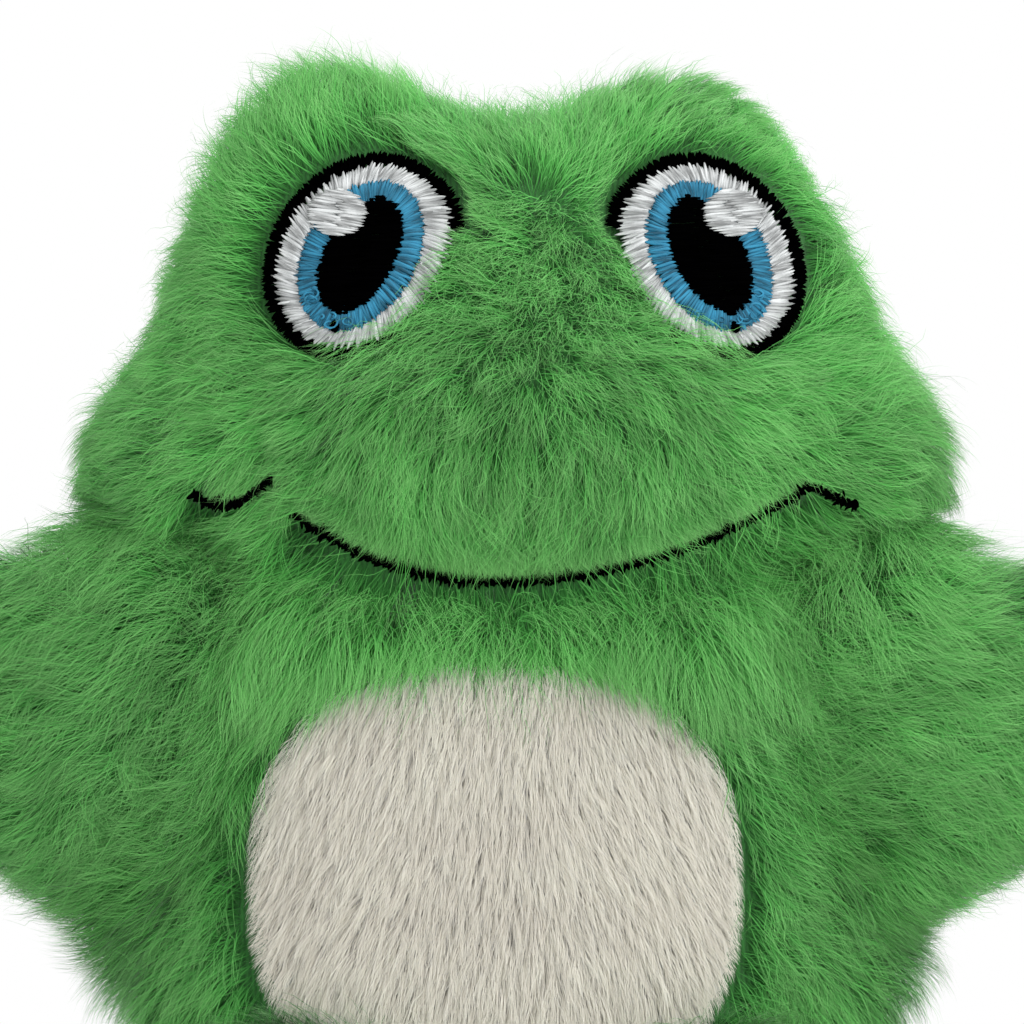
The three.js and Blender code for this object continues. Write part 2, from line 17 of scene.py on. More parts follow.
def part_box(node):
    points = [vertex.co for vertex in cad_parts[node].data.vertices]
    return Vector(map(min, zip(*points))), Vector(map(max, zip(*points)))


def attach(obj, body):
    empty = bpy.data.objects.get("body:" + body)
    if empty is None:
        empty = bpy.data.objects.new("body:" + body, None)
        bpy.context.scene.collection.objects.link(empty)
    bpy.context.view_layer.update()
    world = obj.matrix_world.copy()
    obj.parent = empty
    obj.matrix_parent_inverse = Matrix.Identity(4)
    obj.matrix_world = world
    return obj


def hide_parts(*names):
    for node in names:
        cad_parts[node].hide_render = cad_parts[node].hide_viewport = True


bl_info = {
    "name": "Plush Frog",
    "version": (1, 0, 0),
    "blender": (4, 5, 0),
    "location": "View3D > Sidebar > Plush Frog",
    "description": "Sews, stuffs and combs a small plush frog",
    "category": "Add Mesh",
}

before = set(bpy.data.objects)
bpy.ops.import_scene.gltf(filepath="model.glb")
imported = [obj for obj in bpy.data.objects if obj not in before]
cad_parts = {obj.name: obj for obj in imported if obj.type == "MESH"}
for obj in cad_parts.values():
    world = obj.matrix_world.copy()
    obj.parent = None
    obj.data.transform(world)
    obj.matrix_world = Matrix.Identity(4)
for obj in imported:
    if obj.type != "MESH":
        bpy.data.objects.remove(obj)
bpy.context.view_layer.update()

MM = 0.001
FORWARD = np.array([0.0, -1.0, 0.0])
BAKE_MAP = "OFBake"
SIDES = {"left": -1, "right": 1}
PANELS = {
    "head": ["head_face_panel", "head_back_panel"],
    "body": ["body_front_panel", "belly_patch", "body_back_panel_left", "body_back_panel_right"],
    **{f"arm_{side}": [f"arm_{side}_front_panel", f"arm_{side}_back_panel"] for side in SIDES},
    **{f"leg_{side}": [f"leg_{side}_upper_panel", f"leg_{side}_lower_panel"] for side in SIDES},
}
MOUTH_LINES = ("mouth_line", "mouth_tick_left", "mouth_tick_right")


# Sizes and colours that a user may change


class PileSettings(bpy.types.PropertyGroup):
    depth: FloatProperty(
        name="Pile depth", description="Height of the combed pile above its cloth",
        default=3.9 * MM, unit="LENGTH",
    )
    length: FloatProperty(
        name="Hair length", description="Length of one green hair", default=9.5 * MM, unit="LENGTH"
    )
    width: FloatProperty(
        name="Hair width", description="Width of one green hair at its root",
        default=0.115 * MM, unit="LENGTH",
    )
    front_density: FloatProperty(
        name="Front density", description="Green hairs on a square millimetre of the front", default=9.0
    )
    back_density: FloatProperty(
        name="Back density", description="Green hairs on a square millimetre of the back", default=5.5
    )
    wisp_density: FloatProperty(
        name="Wisp density", description="Fine loose hairs on a square millimetre", default=1.9
    )
    tuft_spacing: FloatProperty(
        name="Tuft spacing", description="Distance between the small tufts that hairs gather in",
        default=1.4 * MM, unit="LENGTH",
    )
    # Painted shade: the roots are darkened for the shade deep between the hairs, and the green cloth
    # takes this colour too.
    root_shade_colour: FloatVectorProperty(
        name="Root colour", description="Green at the roots", subtype="COLOR",
        default=(0.03, 0.175, 0.03),
    )
    middle_colour: FloatVectorProperty(
        name="Middle colour", description="Green half way up", subtype="COLOR",
        default=(0.095, 0.43, 0.08),
    )
    tip_colour: FloatVectorProperty(
        name="Tip colour", description="Green at the tips", subtype="COLOR",
        default=(0.25, 0.62, 0.19),
    )


class BellySettings(bpy.types.PropertyGroup):
    length: FloatProperty(
        name="Hair length", description="Length of one cream hair", default=5.8 * MM, unit="LENGTH"
    )
    width: FloatProperty(
        name="Hair width", description="Width of one cream hair at its root",
        default=0.095 * MM, unit="LENGTH",
    )
    density: FloatProperty(
        name="Density", description="Cream hairs on a square millimetre", default=19.0
    )
    root_shade_colour: FloatVectorProperty(
        name="Root colour", description="Shadow colour between the cream hairs", subtype="COLOR",
        default=(0.93, 0.885, 0.785),
    )
    tip_colour: FloatVectorProperty(
        name="Tip colour", description="Colour of the cream tips", subtype="COLOR",
        default=(0.97, 0.925, 0.82),
    )


class StitchSettings(bpy.types.PropertyGroup):
    pitch: FloatProperty(
        name="Stitch pitch", description="Distance between two satin stitches",
        default=0.34 * MM, unit="LENGTH",
    )
    eye_lean: FloatProperty(
        name="Eye lean", description="How far the eyes lean inwards at the top",
        default=math.radians(36), subtype="ANGLE",
    )
    iris_lean: FloatProperty(
        name="Iris lean", description="How far the irises lean inwards at the top",
        default=math.radians(30), subtype="ANGLE",
    )
    black: FloatVectorProperty(
        name="Black thread", description="Outline, pupil and mouth", subtype="COLOR",
        default=(0.0004, 0.0004, 0.0005),
    )
    white: FloatVectorProperty(
        name="White thread", description="White of the eyes and highlights", subtype="COLOR",
        default=(0.63, 0.65, 0.65),
    )
    blue: FloatVectorProperty(
        name="Blue thread", description="Irises", subtype="COLOR", default=(0.03, 0.23, 0.38)
    )


class StageSettings(bpy.types.PropertyGroup):
    distance: FloatProperty(
        name="Camera distance", description="From the camera to the toy's middle",
        default=1.2, unit="LENGTH",
    )
    view_width: FloatProperty(
        name="View width", description="Width of what the camera sees at the toy",
        default=0.11264, unit="LENGTH",
    )
    view_height: FloatProperty(
        name="Camera height", description="Height of the camera above the floor",
        default=0.0823, unit="LENGTH",
    )
    floor_size: FloatProperty(
        name="Floor size", description="Side of the square floor", default=0.8, unit="LENGTH"
    )
    seed: IntProperty(name="Seed", description="Start of all random draws", default=7)


SETTINGS = {
    "plush_pile": PileSettings,
    "plush_belly": BellySettings,
    "plush_stitch": StitchSettings,
    "plush_stage": StageSettings,
}


# Materials


class Value:
    """A shader socket that takes part in Python expressions."""

    def __init__(self, finish, socket):
        self.finish = finish
        self.socket = socket

    def maths(self, operation, *numbers):
        """A Math node over the numbers, or over this value alone."""
        inputs = dict(enumerate(numbers or (self,)))
        return self.finish.node("ShaderNodeMath", {"operation": operation}, inputs, 0)

    def __add__(self, other):
        return self.maths("ADD", self, other)

    def __radd__(self, other):
        return self.maths("ADD", other, self)

    def __sub__(self, other):
        return self.maths("SUBTRACT", self, other)

    def __rsub__(self, other):
        return self.maths("SUBTRACT", other, self)

    def __mul__(self, other):
        return self.maths("MULTIPLY", self, other)

    def __rmul__(self, other):
        return self.maths("MULTIPLY", other, self)


class Finish:
    """The nodes of a material or of the world, which all come from one method."""

    def __init__(self, name, kind="materials"):
        self.owner = getattr(bpy.data, kind).new(name)
        self.owner.use_nodes = True
        self.tree = self.owner.node_tree
        self.tree.nodes.clear()

    def node(self, kind, settings, inputs, *outputs):
        """Adds a node: first its settings, then the values and links of its sockets. Gives what
        comes out of the named outputs."""
        made = self.tree.nodes.new(kind)
        for name, setting in settings.items():
            if name == "stops":
                self.set_stops(made.color_ramp, setting)
            else:
                setattr(made, name, setting)
        for name, value in inputs.items():
            if isinstance(value, Value):
                self.tree.links.new(value.socket, made.inputs[name])
            else:
                made.inputs[name].default_value = value
        values = [Value(self, made.outputs[name]) for name in outputs]
        return values[0] if len(values) == 1 else values

    @staticmethod
    def set_stops(ramp, stops):
        while len(ramp.elements) < len(stops):
            ramp.elements.new(1)
        for element, (place, colour) in zip(ramp.elements, stops):
            element.position = place
            element.color = (*colour[:3], 1)

    def ramp(self, value, stops):
        return self.node("ShaderNodeValToRGB", {"stops": stops}, {"Fac": value}, "Color")

    def mix(self, factor, first, second):
        """A colour between two. The Mix node's colour sockets are 6 and 7, and its output 2."""
        settings = {"data_type": "RGBA", "blend_type": "MIX", "clamp_factor": True}
        return self.node("ShaderNodeMix", settings, {0: factor, 6: first, 7: second}, 2)

    def noise(self, scale, detail, vector, roughness=0.5):
        inputs = {"Scale": scale, "Detail": detail, "Roughness": roughness, "Vector": vector}
        return self.node("ShaderNodeTexNoise", {}, inputs, "Fac")

    def wave(self, direction, inputs):
        settings = {"wave_type": "BANDS", "bands_direction": direction}
        return self.node("ShaderNodeTexWave", settings, inputs, "Fac")

    def place(self):
        return self.node("ShaderNodeTexCoord", {}, {}, "Object")

    def map_parts(self):
        """The bake map and its two parts: across, then along."""
        uv = self.node("ShaderNodeUVMap", {"uv_map": BAKE_MAP}, {}, "UV")
        return uv, *self.node("ShaderNodeSeparateXYZ", {}, {"Vector": uv}, "X", "Y")

    def bump(self, height, strength, distance):
        inputs = {"Height": height, "Strength": strength, "Distance": distance * MM}
        return self.node("ShaderNodeBump", {}, inputs, "Normal")

    def surface(self, **sockets):
        """Ends the material in one surface. A name is a socket's name with _ for spaces."""
        inputs = {name.replace("_", " "): value for name, value in sockets.items()}
        shader = self.node("ShaderNodeBsdfPrincipled", {}, inputs, "BSDF")
        self.node("ShaderNodeOutputMaterial", {}, {"Surface": shader})
        return self.owner


THREADS_PER_SIDE = 24


def rgba(colour, gain=1.0):
    return tuple(min(part * gain, 1.0) for part in colour) + (1.0,)


def pile_finish(name, root, middle, tip, spread, sheen):
    """Pile hair: dark at the root and pale at the tip, which paints the shade that deepens between the
    hairs towards their roots, and each hair in its own shade, which lies within the spread of the plain
    one."""
    finish = Finish(name)
    _, shade, along = finish.map_parts()
    dull, bright = (
        finish.ramp(along, [
            (0.0, rgba(root, root_gain)), (0.45, rgba(middle, gain)), (1.0, rgba(tip, gain)),
        ])
        for root_gain, gain in ((0.8, 1 - spread), (1.25, 1 + spread))
    )
    return finish.surface(
        Base_Color=finish.mix(shade, dull, bright),
        Roughness=0.75 - 0.2 * along,
        Specular_IOR_Level=0.25,
        Sheen_Weight=sheen,
        Sheen_Roughness=0.45,
    )


def cloth_finish(name, colour):
    """The knitted cloth under the pile, in columns of small loops."""
    finish = Finish(name)
    place = finish.place()
    patches = finish.noise(220, 3, place)
    columns = finish.wave(
        "X", {"Vector": place, "Scale": 520, "Distortion": 2.5, "Detail": 2, "Detail Scale": 3}
    )
    blend = patches * 0.6 + columns * 0.4
    return finish.surface(
        Base_Color=finish.ramp(blend, [(0.2, rgba(colour, 0.55)), (0.8, rgba(colour, 1.25))]),
        Roughness=0.7 + 0.25 * patches,
        Normal=finish.bump(blend, 0.6, 0.2),
        Sheen_Weight=0.2,
    )


def thread_finish(name, colour, gloss, shadow):
    """Shiny embroidery thread: two twisted plies, with each stitch in its own shade. The plies are
    painted darker in their grooves and paler on their crests, which is painted shade and painted
    highlight; shadow is the share of its colour that is left between the plies."""
    finish = Finish(name)
    uv, across, along = finish.map_parts()
    cell = finish.node(
        "ShaderNodeVectorMath", {"operation": "SCALE"},
        {"Vector": uv, "Scale": THREADS_PER_SIDE}, "Vector",
    )
    corner = finish.node("ShaderNodeVectorMath", {"operation": "FLOOR"}, {0: cell}, "Vector")
    random = finish.node(
        "ShaderNodeTexWhiteNoise", {"noise_dimensions": "2D"}, {"Vector": corner}, "Value"
    )
    twist = (across * 2.0 + along * 1.5) * (THREADS_PER_SIDE * 2 * math.pi)
    plies = twist.maths("SINE") * 0.5 + 0.5
    fibres = finish.noise(THREADS_PER_SIDE * 14, 2, uv)
    shade = random * 0.5 + plies * 0.25 + fibres * 0.25
    return finish.surface(
        Base_Color=finish.ramp(shade, [(0.2, rgba(colour, shadow)), (0.8, rgba(colour, 1.35))]),
        Roughness=0.5 + 0.2 * fibres,
        Normal=finish.bump(plies + fibres * 0.4, 0.5, 0.06),
        Specular_IOR_Level=gloss,
    )


def fibre_finish(name, colour, grain, depth):
    """Loose or felted fibre: fine crossing hairs over soft lumps."""
    finish = Finish(name)
    place = finish.place()
    lumps = finish.noise(grain * 0.15, 3, place)
    hairs = finish.noise(grain, 6, place, 0.7)
    blend = lumps * 0.4 + hairs * 0.6
    return finish.surface(
        Base_Color=finish.ramp(blend, [(0.3, rgba(colour, 0.8)), (0.7, rgba(colour, 1.05))]),
        Roughness=0.75 + 0.2 * hairs,
        Normal=finish.bump(blend, 0.7, depth),
    )


def pellet_finish(name, colour):
    """A bag of plain weave with round pellets pressing through."""
    finish = Finish(name)
    place = finish.place()
    pellets = finish.node(
        "ShaderNodeTexVoronoi", {"feature": "SMOOTH_F1"}, {"Vector": place, "Scale": 380}, "Distance"
    )
    weave = finish.wave("DIAGONAL", {"Vector": place, "Scale": 900})
    return finish.surface(
        # Painted shade: the cloth is darker in the hollows between the pellets and paler on their tops.
        Base_Color=finish.ramp(pellets, [(0.1, rgba(colour, 1.1)), (0.7, rgba(colour, 0.7))]),
        Roughness=0.6 + 0.2 * weave,
        Normal=finish.bump(weave * 0.2 - pellets, 0.8, 0.6),
    )


# Meshes


SKIN_VOXEL = 1.2
SKIN_SMOOTHING = 14
TOUCHING_DEPTH = 0.2
TOUCHING_GAPS = (0.9, 6.0)
WOBBLE_SIZES = (1.2, 3.2)
WOBBLE_PEAK = 1.6


def unit(vectors):
    return vectors / np.maximum(np.linalg.norm(vectors, axis=-1, keepdims=True), 1e-9)


def smooth_step(low, high, values):
    share = np.clip((values - low) / (high - low), 0, 1)
    return share * share * (3 - 2 * share)


def wobble(points, size, seed, waves=7):
    """A smooth random value near -1 to 1 for each point, that changes over about one size."""
    draw = np.random.default_rng(seed)
    total = np.zeros(len(points))
    for _ in range(waves):
        direction = unit(draw.normal(size=3)) * 2 * math.pi / (size * draw.uniform(*WOBBLE_SIZES))
        total += np.sin(points @ direction + draw.uniform(0, 2 * math.pi))
    return total / math.sqrt(waves / 2) / WOBBLE_PEAK


def new_object(name, points, faces, material, maps=None, normals=None):
    """A mesh object from points in millimetres and triangles. maps holds a map place per corner,
    and normals the directions that the points are lit from."""
    mesh = bpy.data.meshes.new(name)
    faces = np.asarray(faces, np.int32)
    mesh.vertices.add(len(points))
    mesh.vertices.foreach_set("co", (np.asarray(points, np.float64) * MM).astype(np.float32).ravel())
    mesh.loops.add(faces.size)
    mesh.loops.foreach_set("vertex_index", faces.ravel())
    mesh.polygons.add(len(faces))
    mesh.polygons.foreach_set("loop_start", np.arange(0, faces.size, 3, dtype=np.int32))
    mesh.polygons.foreach_set("use_smooth", np.ones(len(faces), bool))
    if maps is not None:
        layer = mesh.uv_layers.new(name=BAKE_MAP)
        layer.data.foreach_set("uv", np.asarray(maps, np.float32).ravel())
    mesh.update(calc_edges=True)
    if normals is not None:
        mesh.normals_split_custom_set_from_vertices(normals)
    mesh.materials.append(material)
    made = bpy.data.objects.new(name, mesh)
    bpy.context.scene.collection.objects.link(made)
    return made


def mesh_arrays(mesh):
    """Points, in metres, and triangles of a mesh."""
    mesh.calc_loop_triangles()
    points = np.zeros(len(mesh.vertices) * 3, np.float32)
    faces = np.zeros(len(mesh.loop_triangles) * 3, np.int32)
    mesh.vertices.foreach_get("co", points)
    mesh.loop_triangles.foreach_get("vertices", faces)
    return points.reshape(-1, 3), faces.reshape(-1, 3)


def node_points(node):
    return mesh_arrays(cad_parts[node].data)[0].astype(float) / MM


def joined(meshes):
    """The points and triangles of several meshes as one."""
    starts = np.cumsum([0] + [len(points) for points, _ in meshes])
    faces = [faces + start for (_, faces), start in zip(meshes, starts)]
    return np.concatenate([points for points, _ in meshes]), np.concatenate(faces)


def melted(nodes, voxel, smoothing):
    """Points, normals and triangles of one smooth skin round several CAD nodes."""
    points, faces = joined([mesh_arrays(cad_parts[node].data) for node in nodes])
    maker = new_object("melting", points / MM, faces, None)
    remesh = maker.modifiers.new("remesh", "REMESH")
    remesh.mode = "VOXEL"
    remesh.voxel_size = voxel * MM
    smooth = maker.modifiers.new("smooth", "SMOOTH")
    smooth.iterations = smoothing
    smooth.factor = 0.5
    graph = bpy.context.evaluated_depsgraph_get()
    mesh = bpy.data.meshes.new_from_object(maker.evaluated_get(graph))
    bpy.data.objects.remove(maker)
    points, faces = mesh_arrays(mesh)
    normals = np.zeros(points.size, np.float32)
    mesh.vertex_normals.foreach_get("vector", normals)
    bpy.data.meshes.remove(mesh)
    return points.astype(float) / MM, normals.reshape(-1, 3).astype(float), faces


class Skin:
    """The pile surface of one body part and the cloth below it, with the same triangles."""

    def __init__(self, nodes):
        self.pile, self.normals, self.faces = melted(nodes, SKIN_VOXEL, SKIN_SMOOTHING)
        self.middles = self.pile[self.faces].mean(axis=1)
        self.tree = BVHTree.FromPolygons(self.pile.tolist(), self.faces.tolist())

    def settle(self, others, depth):
        """Lays the cloth a depth below the pile, and near the surface where other parts touch."""
        gaps = np.full(len(self.pile), np.inf)
        for other in others:
            found = [other.tree.find_nearest(point)[3] for point in self.pile.tolist()]
            gaps = np.minimum(gaps, found)
        deeper = (depth - TOUCHING_DEPTH) * smooth_step(*TOUCHING_GAPS, gaps)
        self.depths = TOUCHING_DEPTH + deeper
        self.cloth = self.pile - self.normals * self.depths[:, None]

    def depth_at(self, point):
        """How deep a point lies below the pile surface, and how deep the cloth lies there."""
        _, _, face, distance = self.tree.find_nearest(point)
        return distance, self.depths[self.faces[face]].mean()

    def scatter(self, draw, density):
        """Random roots on the cloth: density for each square millimetre, or a function of place."""
        corners = self.cloth[self.faces]
        sides = np.cross(corners[:, 1] - corners[:, 0], corners[:, 2] - corners[:, 0])
        areas = np.linalg.norm(sides, axis=1) / 2
        wanted = areas * (density(self.middles) if callable(density) else density)
        counts = draw.poisson(np.where(self.open, wanted, 0))
        owner = np.repeat(np.arange(len(areas)), counts)
        first, second = draw.random((2, len(owner)))
        over = first + second > 1
        first[over], second[over] = 1 - first[over], 1 - second[over]
        shares = np.stack([1 - first - second, first, second], axis=1)[:, :, None]
        roots = (self.cloth[self.faces[owner]] * shares).sum(axis=1)
        normals = unit((self.normals[self.faces[owner]] * shares).sum(axis=1))
        return roots, normals


# Hairs and threads


HAIR_SHARES = np.array([0.0, 0.28, 0.55, 0.8, 1.0])
WISP_SHARES = np.linspace(0, 1, 10) ** 0.85
CUT_SAMPLES = 15
SHORTEST_KEPT = 0.2
MOST_TRIANGLES = 196000
FLOOR_GAP = 0.25
HAIR_RELIEF = 0.35
HAIR_ROLL = 0.95
HAIR_TAPER = 1.6
HAIR_WIDTHS = (0.75, 1.25)
MAP_WIDTH = 0.004
CELL_EDGE = 0.06
CAP_PLACES = [(0.1, 0.0), (0.9, 0.04), (0.5, 0.0), (0.1, 1.0), (0.5, 1.0), (0.9, 0.96)]

# A hair's rise from its cloth and its run over it: shares of its length, for t and for t squared
HAIR_RISE = (2.1, -1.1)
HAIR_RUN = (0.62, 0.34)
FLATTEST_RUN = 0.05

LOCAL_CHANGES = ("fuzz", "longer", "raised", "painted_light", "ahead", "fall")
FUZZ = {"tuft_turn": 0.5, "hair_turn": 0.4, "shorter": 0.3, "lift": 0.28, "looser": 0.6}
FEWEST_TUFTS = 4
TUFT_LENGTHS = (0.86, 1.12)
HAIR_LENGTHS = (0.7, 1.08)
TUFT_LIFTS = (0.1, 0.95)
HAIR_LIFTS = (0.08, 0.97)
LIFT_SPREADS = {"tuft": 0.05, "hair": 0.06}
PULL_SPREAD = 0.12
STRONGEST_PULL = 0.9
PULL_POWER = 1.4
WAVE_TURNS = (5, 10)
WAVE_STARTS = (0, 6)
SWIRL_SIZE = 9
SHADES = {"middle": 0.45, "tuft": 0.22, "hair": 0.2, "patch": 0.14, "speck": 0.16}
SHADE_SIZES = {"patch": 16, "speck": 4}
SHADE_RANGE = (0.03, 0.97)


def turned(tangents, normals, angles):
    """Tangents turned about their normals."""
    side = np.cross(normals, tangents)
    return tangents * np.cos(angles)[:, None] + side * np.sin(angles)[:, None]


def hair_lines(roots, tangents, normals, lengths, lift, shares):
    """Points along hairs that leave their cloth steeply and lie down towards their tips."""
    t = shares[None, :, None]
    length = lengths[:, None, None]
    lift = lift[:, None, None]
    rise = HAIR_RISE[0] * t + HAIR_RISE[1] * t * t
    run = HAIR_RUN[0] * t + HAIR_RUN[1] * t * t
    flat = np.sqrt(np.maximum(1 - lift * lift, FLATTEST_RUN))
    return roots[:, None] + (tangents[:, None] * run * flat + normals[:, None] * (lift * rise)) * length


def resampled(lines, wanted):
    """Points of the lines at wanted places, which count in steps from point to point."""
    low = np.minimum(wanted.astype(int), lines.shape[1] - 2)
    part = (wanted - low)[:, :, None]
    rows = np.arange(len(lines))[:, None]
    return lines[rows, low] * (1 - part) + lines[rows, low + 1] * part


def kept_fraction(lines, clear):
    """How much of each line lies before its first point that isn't clear."""
    inside = ~clear
    count = lines.shape[1]
    first = np.where(inside.any(axis=1), inside.argmax(axis=1), count)
    return np.clip((first - 0.5) / (count - 1), 0, 1)


def nearest_tufts(roots, centres):
    tree = KDTree(len(centres))
    for i, centre in enumerate(centres.tolist()):
        tree.insert(centre, i)
    tree.balance()
    return np.array([tree.find(root)[1] for root in roots.tolist()])


def comb(draw, roots, normals, flow, style, barrier=None, local=None):
    """Lines, normals and shades of combed pile. Hairs lean along the flow and gather in tufts. They are
    cut off where the barrier says that they aren't clear. local holds values for each root: its fuzz,
    which at 1 turns the hairs all ways, its extra length and lift, its painted light, which makes the
    hairs paler as painted light and, where negative, darker as painted shade, how far it is lit as from
    the front, and how far it falls by its weight."""
    count = len(roots)
    fuzz, longer, raised, painted_light, ahead, fall = (
        (local or {}).get(name, np.zeros(count)) for name in LOCAL_CHANGES
    )
    picked = draw.random(count) < style["tuft_share"]
    picked[:FEWEST_TUFTS] = True
    centres = np.flatnonzero(picked)
    tufts = len(centres)
    owner = nearest_tufts(roots, roots[centres])
    shares = np.linspace(0, 1, CUT_SAMPLES)

    swirl = style["swirl"] * wobble(roots, SWIRL_SIZE, style["seed"])
    tuft_turn = draw.normal(0, style["tuft_turn"], tufts)
    angles = swirl + tuft_turn[owner] + draw.normal(0, style["hair_turn"], count)
    stray = draw.normal(0, FUZZ["tuft_turn"], tufts)[owner]
    angles += fuzz * (stray + draw.normal(0, FUZZ["hair_turn"], count))
    level = unit(flow - normals * (flow * normals).sum(axis=1, keepdims=True))
    tangents = turned(level, normals, angles)
    side = np.cross(normals, tangents)

    tuft_length = draw.uniform(*TUFT_LENGTHS, tufts)
    lengths = style["length"] * tuft_length[owner] * draw.uniform(*HAIR_LENGTHS, count)
    lengths *= 1 - FUZZ["shorter"] * fuzz + longer
    tuft_lift = np.clip(draw.normal(style["lift"], LIFT_SPREADS["tuft"], tufts), *TUFT_LIFTS)
    lift = tuft_lift[owner] + FUZZ["lift"] * fuzz + raised
    lift = np.clip(lift + draw.normal(0, LIFT_SPREADS["hair"], count), *HAIR_LIFTS)
    lines = hair_lines(roots, tangents, normals, lengths, lift, shares)

    pull = np.clip(draw.normal(style["pull"], PULL_SPREAD, tufts), 0, STRONGEST_PULL)[owner]
    pull *= 1 - FUZZ["looser"] * fuzz
    grip = (pull[:, None] * shares[None, :] ** PULL_POWER)[:, :, None]
    bend = draw.normal(0, style["bend"], count)[:, None] * shares[None, :] ** 2
    wave = (draw.normal(0, style["wave"], count) * (1 + fuzz))[:, None] * np.sin(
        shares[None, :] * draw.uniform(*WAVE_TURNS, count)[:, None] * style["curl"]
        + draw.uniform(*WAVE_STARTS, count)[:, None]
    ) * shares[None, :]
    lines = lines + (lines[centres][owner] - lines) * grip
    lines += side[:, None] * (bend + wave)[:, :, None]
    lines[:, :, 2] -= (fall * lengths)[:, None] * shares[None, :] ** 2

    shades = SHADES["middle"] + SHADES["tuft"] * draw.normal(size=tufts)[owner]
    shades = shades + SHADES["hair"] * draw.normal(size=count)
    for seed, (kind, size) in enumerate(SHADE_SIZES.items(), style["seed"] + 1):
        shades = shades + SHADES[kind] * wobble(roots, size, seed)
    # Painted light and painted shade: the local values make whole areas of pile paler or darker.
    shades = np.clip(shades + painted_light, *SHADE_RANGE)
    tilts = draw.normal(0, style["tilt"], (2, tufts))[:, owner, None]
    normals = unit(normals + ahead[:, None] * FORWARD)
    normals = unit(normals + tangents * tilts[0] + side * tilts[1])
    if barrier is None:
        return lines, normals, shades
    kept = kept_fraction(lines, barrier(lines, draw))
    chosen = kept > SHORTEST_KEPT
    steps = np.linspace(0, 1, CUT_SAMPLES)[None, :] * kept[chosen, None] * (CUT_SAMPLES - 1)
    return resampled(lines[chosen], steps), normals[chosen], shades[chosen]


def hair_pieces(
    draw, name, lines, normals, shades, width, material, relief=HAIR_RELIEF, shares=HAIR_SHARES
):
    """Flat tapering hairs, split into pieces that stay under the most triangles. relief is how
    far a hair's own side, and not only the pile's, catches the light."""
    points = resampled(lines, np.tile(shares * (lines.shape[1] - 1), (len(lines), 1)))
    points[:, :, 2] = np.maximum(points[:, :, 2], FLOOR_GAP)
    ahead = unit(np.gradient(points, axis=1))
    side = unit(np.cross(ahead, normals[:, None]))
    roll = draw.uniform(-HAIR_ROLL, HAIR_ROLL, len(lines))[:, None, None]
    side = side * np.cos(roll) + np.cross(ahead, side) * np.sin(roll)
    widths = width * (1 - shares ** HAIR_TAPER) * 0.5
    half = side * widths[None, :, None] * draw.uniform(*HAIR_WIDTHS, len(lines))[:, None, None]
    levels = len(shares) - 1
    pairs = np.stack([points[:, :levels] - half[:, :levels], points[:, :levels] + half[:, :levels]], 2)
    corners = np.concatenate([pairs.reshape(len(lines), -1, 3), points[:, -1:]], axis=1)
    pattern = []
    for level in range(levels - 1):
        a, b, c, d = (2 * level + k for k in range(4))
        pattern += [(a, b, d), (a, d, c)]
    pattern.append((2 * levels - 2, 2 * levels - 1, 2 * levels))
    pattern = np.array(pattern)
    along = np.append(np.repeat(shares[:levels], 2), 1.0)
    across = np.append(np.tile([-MAP_WIDTH, MAP_WIDTH], levels), 0.0)
    facing = unit(np.cross(side, ahead) * relief + normals[:, None])
    lit = np.concatenate([np.repeat(facing[:, :levels], 2, axis=1), facing[:, -1:]], axis=1)
    most = MOST_TRIANGLES // len(pattern)
    made = []
    for number, start in enumerate(range(0, len(lines), most)):
        chosen = slice(start, min(start + most, len(lines)))
        count = chosen.stop - chosen.start
        faces = pattern[None] + (np.arange(count) * corners.shape[1])[:, None, None]
        u = shades[chosen, None] + across[pattern.ravel()][None]
        v = np.broadcast_to(along[pattern.ravel()][None], u.shape)
        made.append(new_object(
            f"{name}_{number + 1}", corners[chosen].reshape(-1, 3), faces.reshape(-1, 3),
            material, np.stack([u, v], axis=2), lit[chosen].reshape(-1, 3),
        ))
    return made


def tubes(lines, radii, sizes, sides=6):
    """Round threads along lines. Each has its own cell of the bake map."""
    count, levels = lines.shape[:2]
    ahead = unit(np.gradient(lines, axis=1))
    side = unit(np.cross(ahead, FORWARD))
    over = np.cross(side, ahead)
    angles = np.arange(sides) * 2 * math.pi / sides
    ring = (
        side[:, :, None] * np.cos(angles)[None, None, :, None]
        + over[:, :, None] * np.sin(angles)[None, None, :, None]
    )
    points = lines[:, :, None] + ring * (radii[None, :] * sizes[:, None])[:, :, None, None]
    pattern = []
    places = []
    for level in range(levels - 1):
        low, high = level / (levels - 1), (level + 1) / (levels - 1)
        for k in range(sides):
            a, b = level * sides + k, level * sides + (k + 1) % sides
            c, d = a + sides, b + sides
            left, right = k / sides, (k + 1) / sides
            pattern += [(a, b, d), (a, d, c)]
            places += [
                (left, low), (right, low), (right, high), (left, low), (right, high), (left, high)
            ]
    last = (levels - 1) * sides
    for k in range(1, sides - 1):
        pattern += [(0, k + 1, k), (last, last + k, last + k + 1)]
        places += CAP_PLACES
    faces = np.array(pattern)[None] + (np.arange(count) * levels * sides)[:, None, None]
    cells = np.arange(count) % (THREADS_PER_SIDE ** 2)
    cells = np.stack([cells % THREADS_PER_SIDE, cells // THREADS_PER_SIDE], axis=1)
    inside = CELL_EDGE + (1 - 2 * CELL_EDGE) * np.array(places)[None]
    maps = (cells[:, None] + inside) / THREADS_PER_SIDE
    return points.reshape(-1, 3), faces.reshape(-1, 3), maps.reshape(-1, 2)


# What the pieces share, worked out once from the frame


PATCH_FULLNESS = 2.4
PATCH_FALL = 1.2
LONG_LINE = 20
LONG_ORDER = 5
SHORT_ORDER = 3
LINE_PAST = 1.05
LINE_SAMPLES = 400
ANY_WAY = (0.31, 0.57, 0.76)
OPEN_RAYS = 8
OPEN_TILT = 1.15
OPEN_START = 0.4
OPEN_REACH = 70


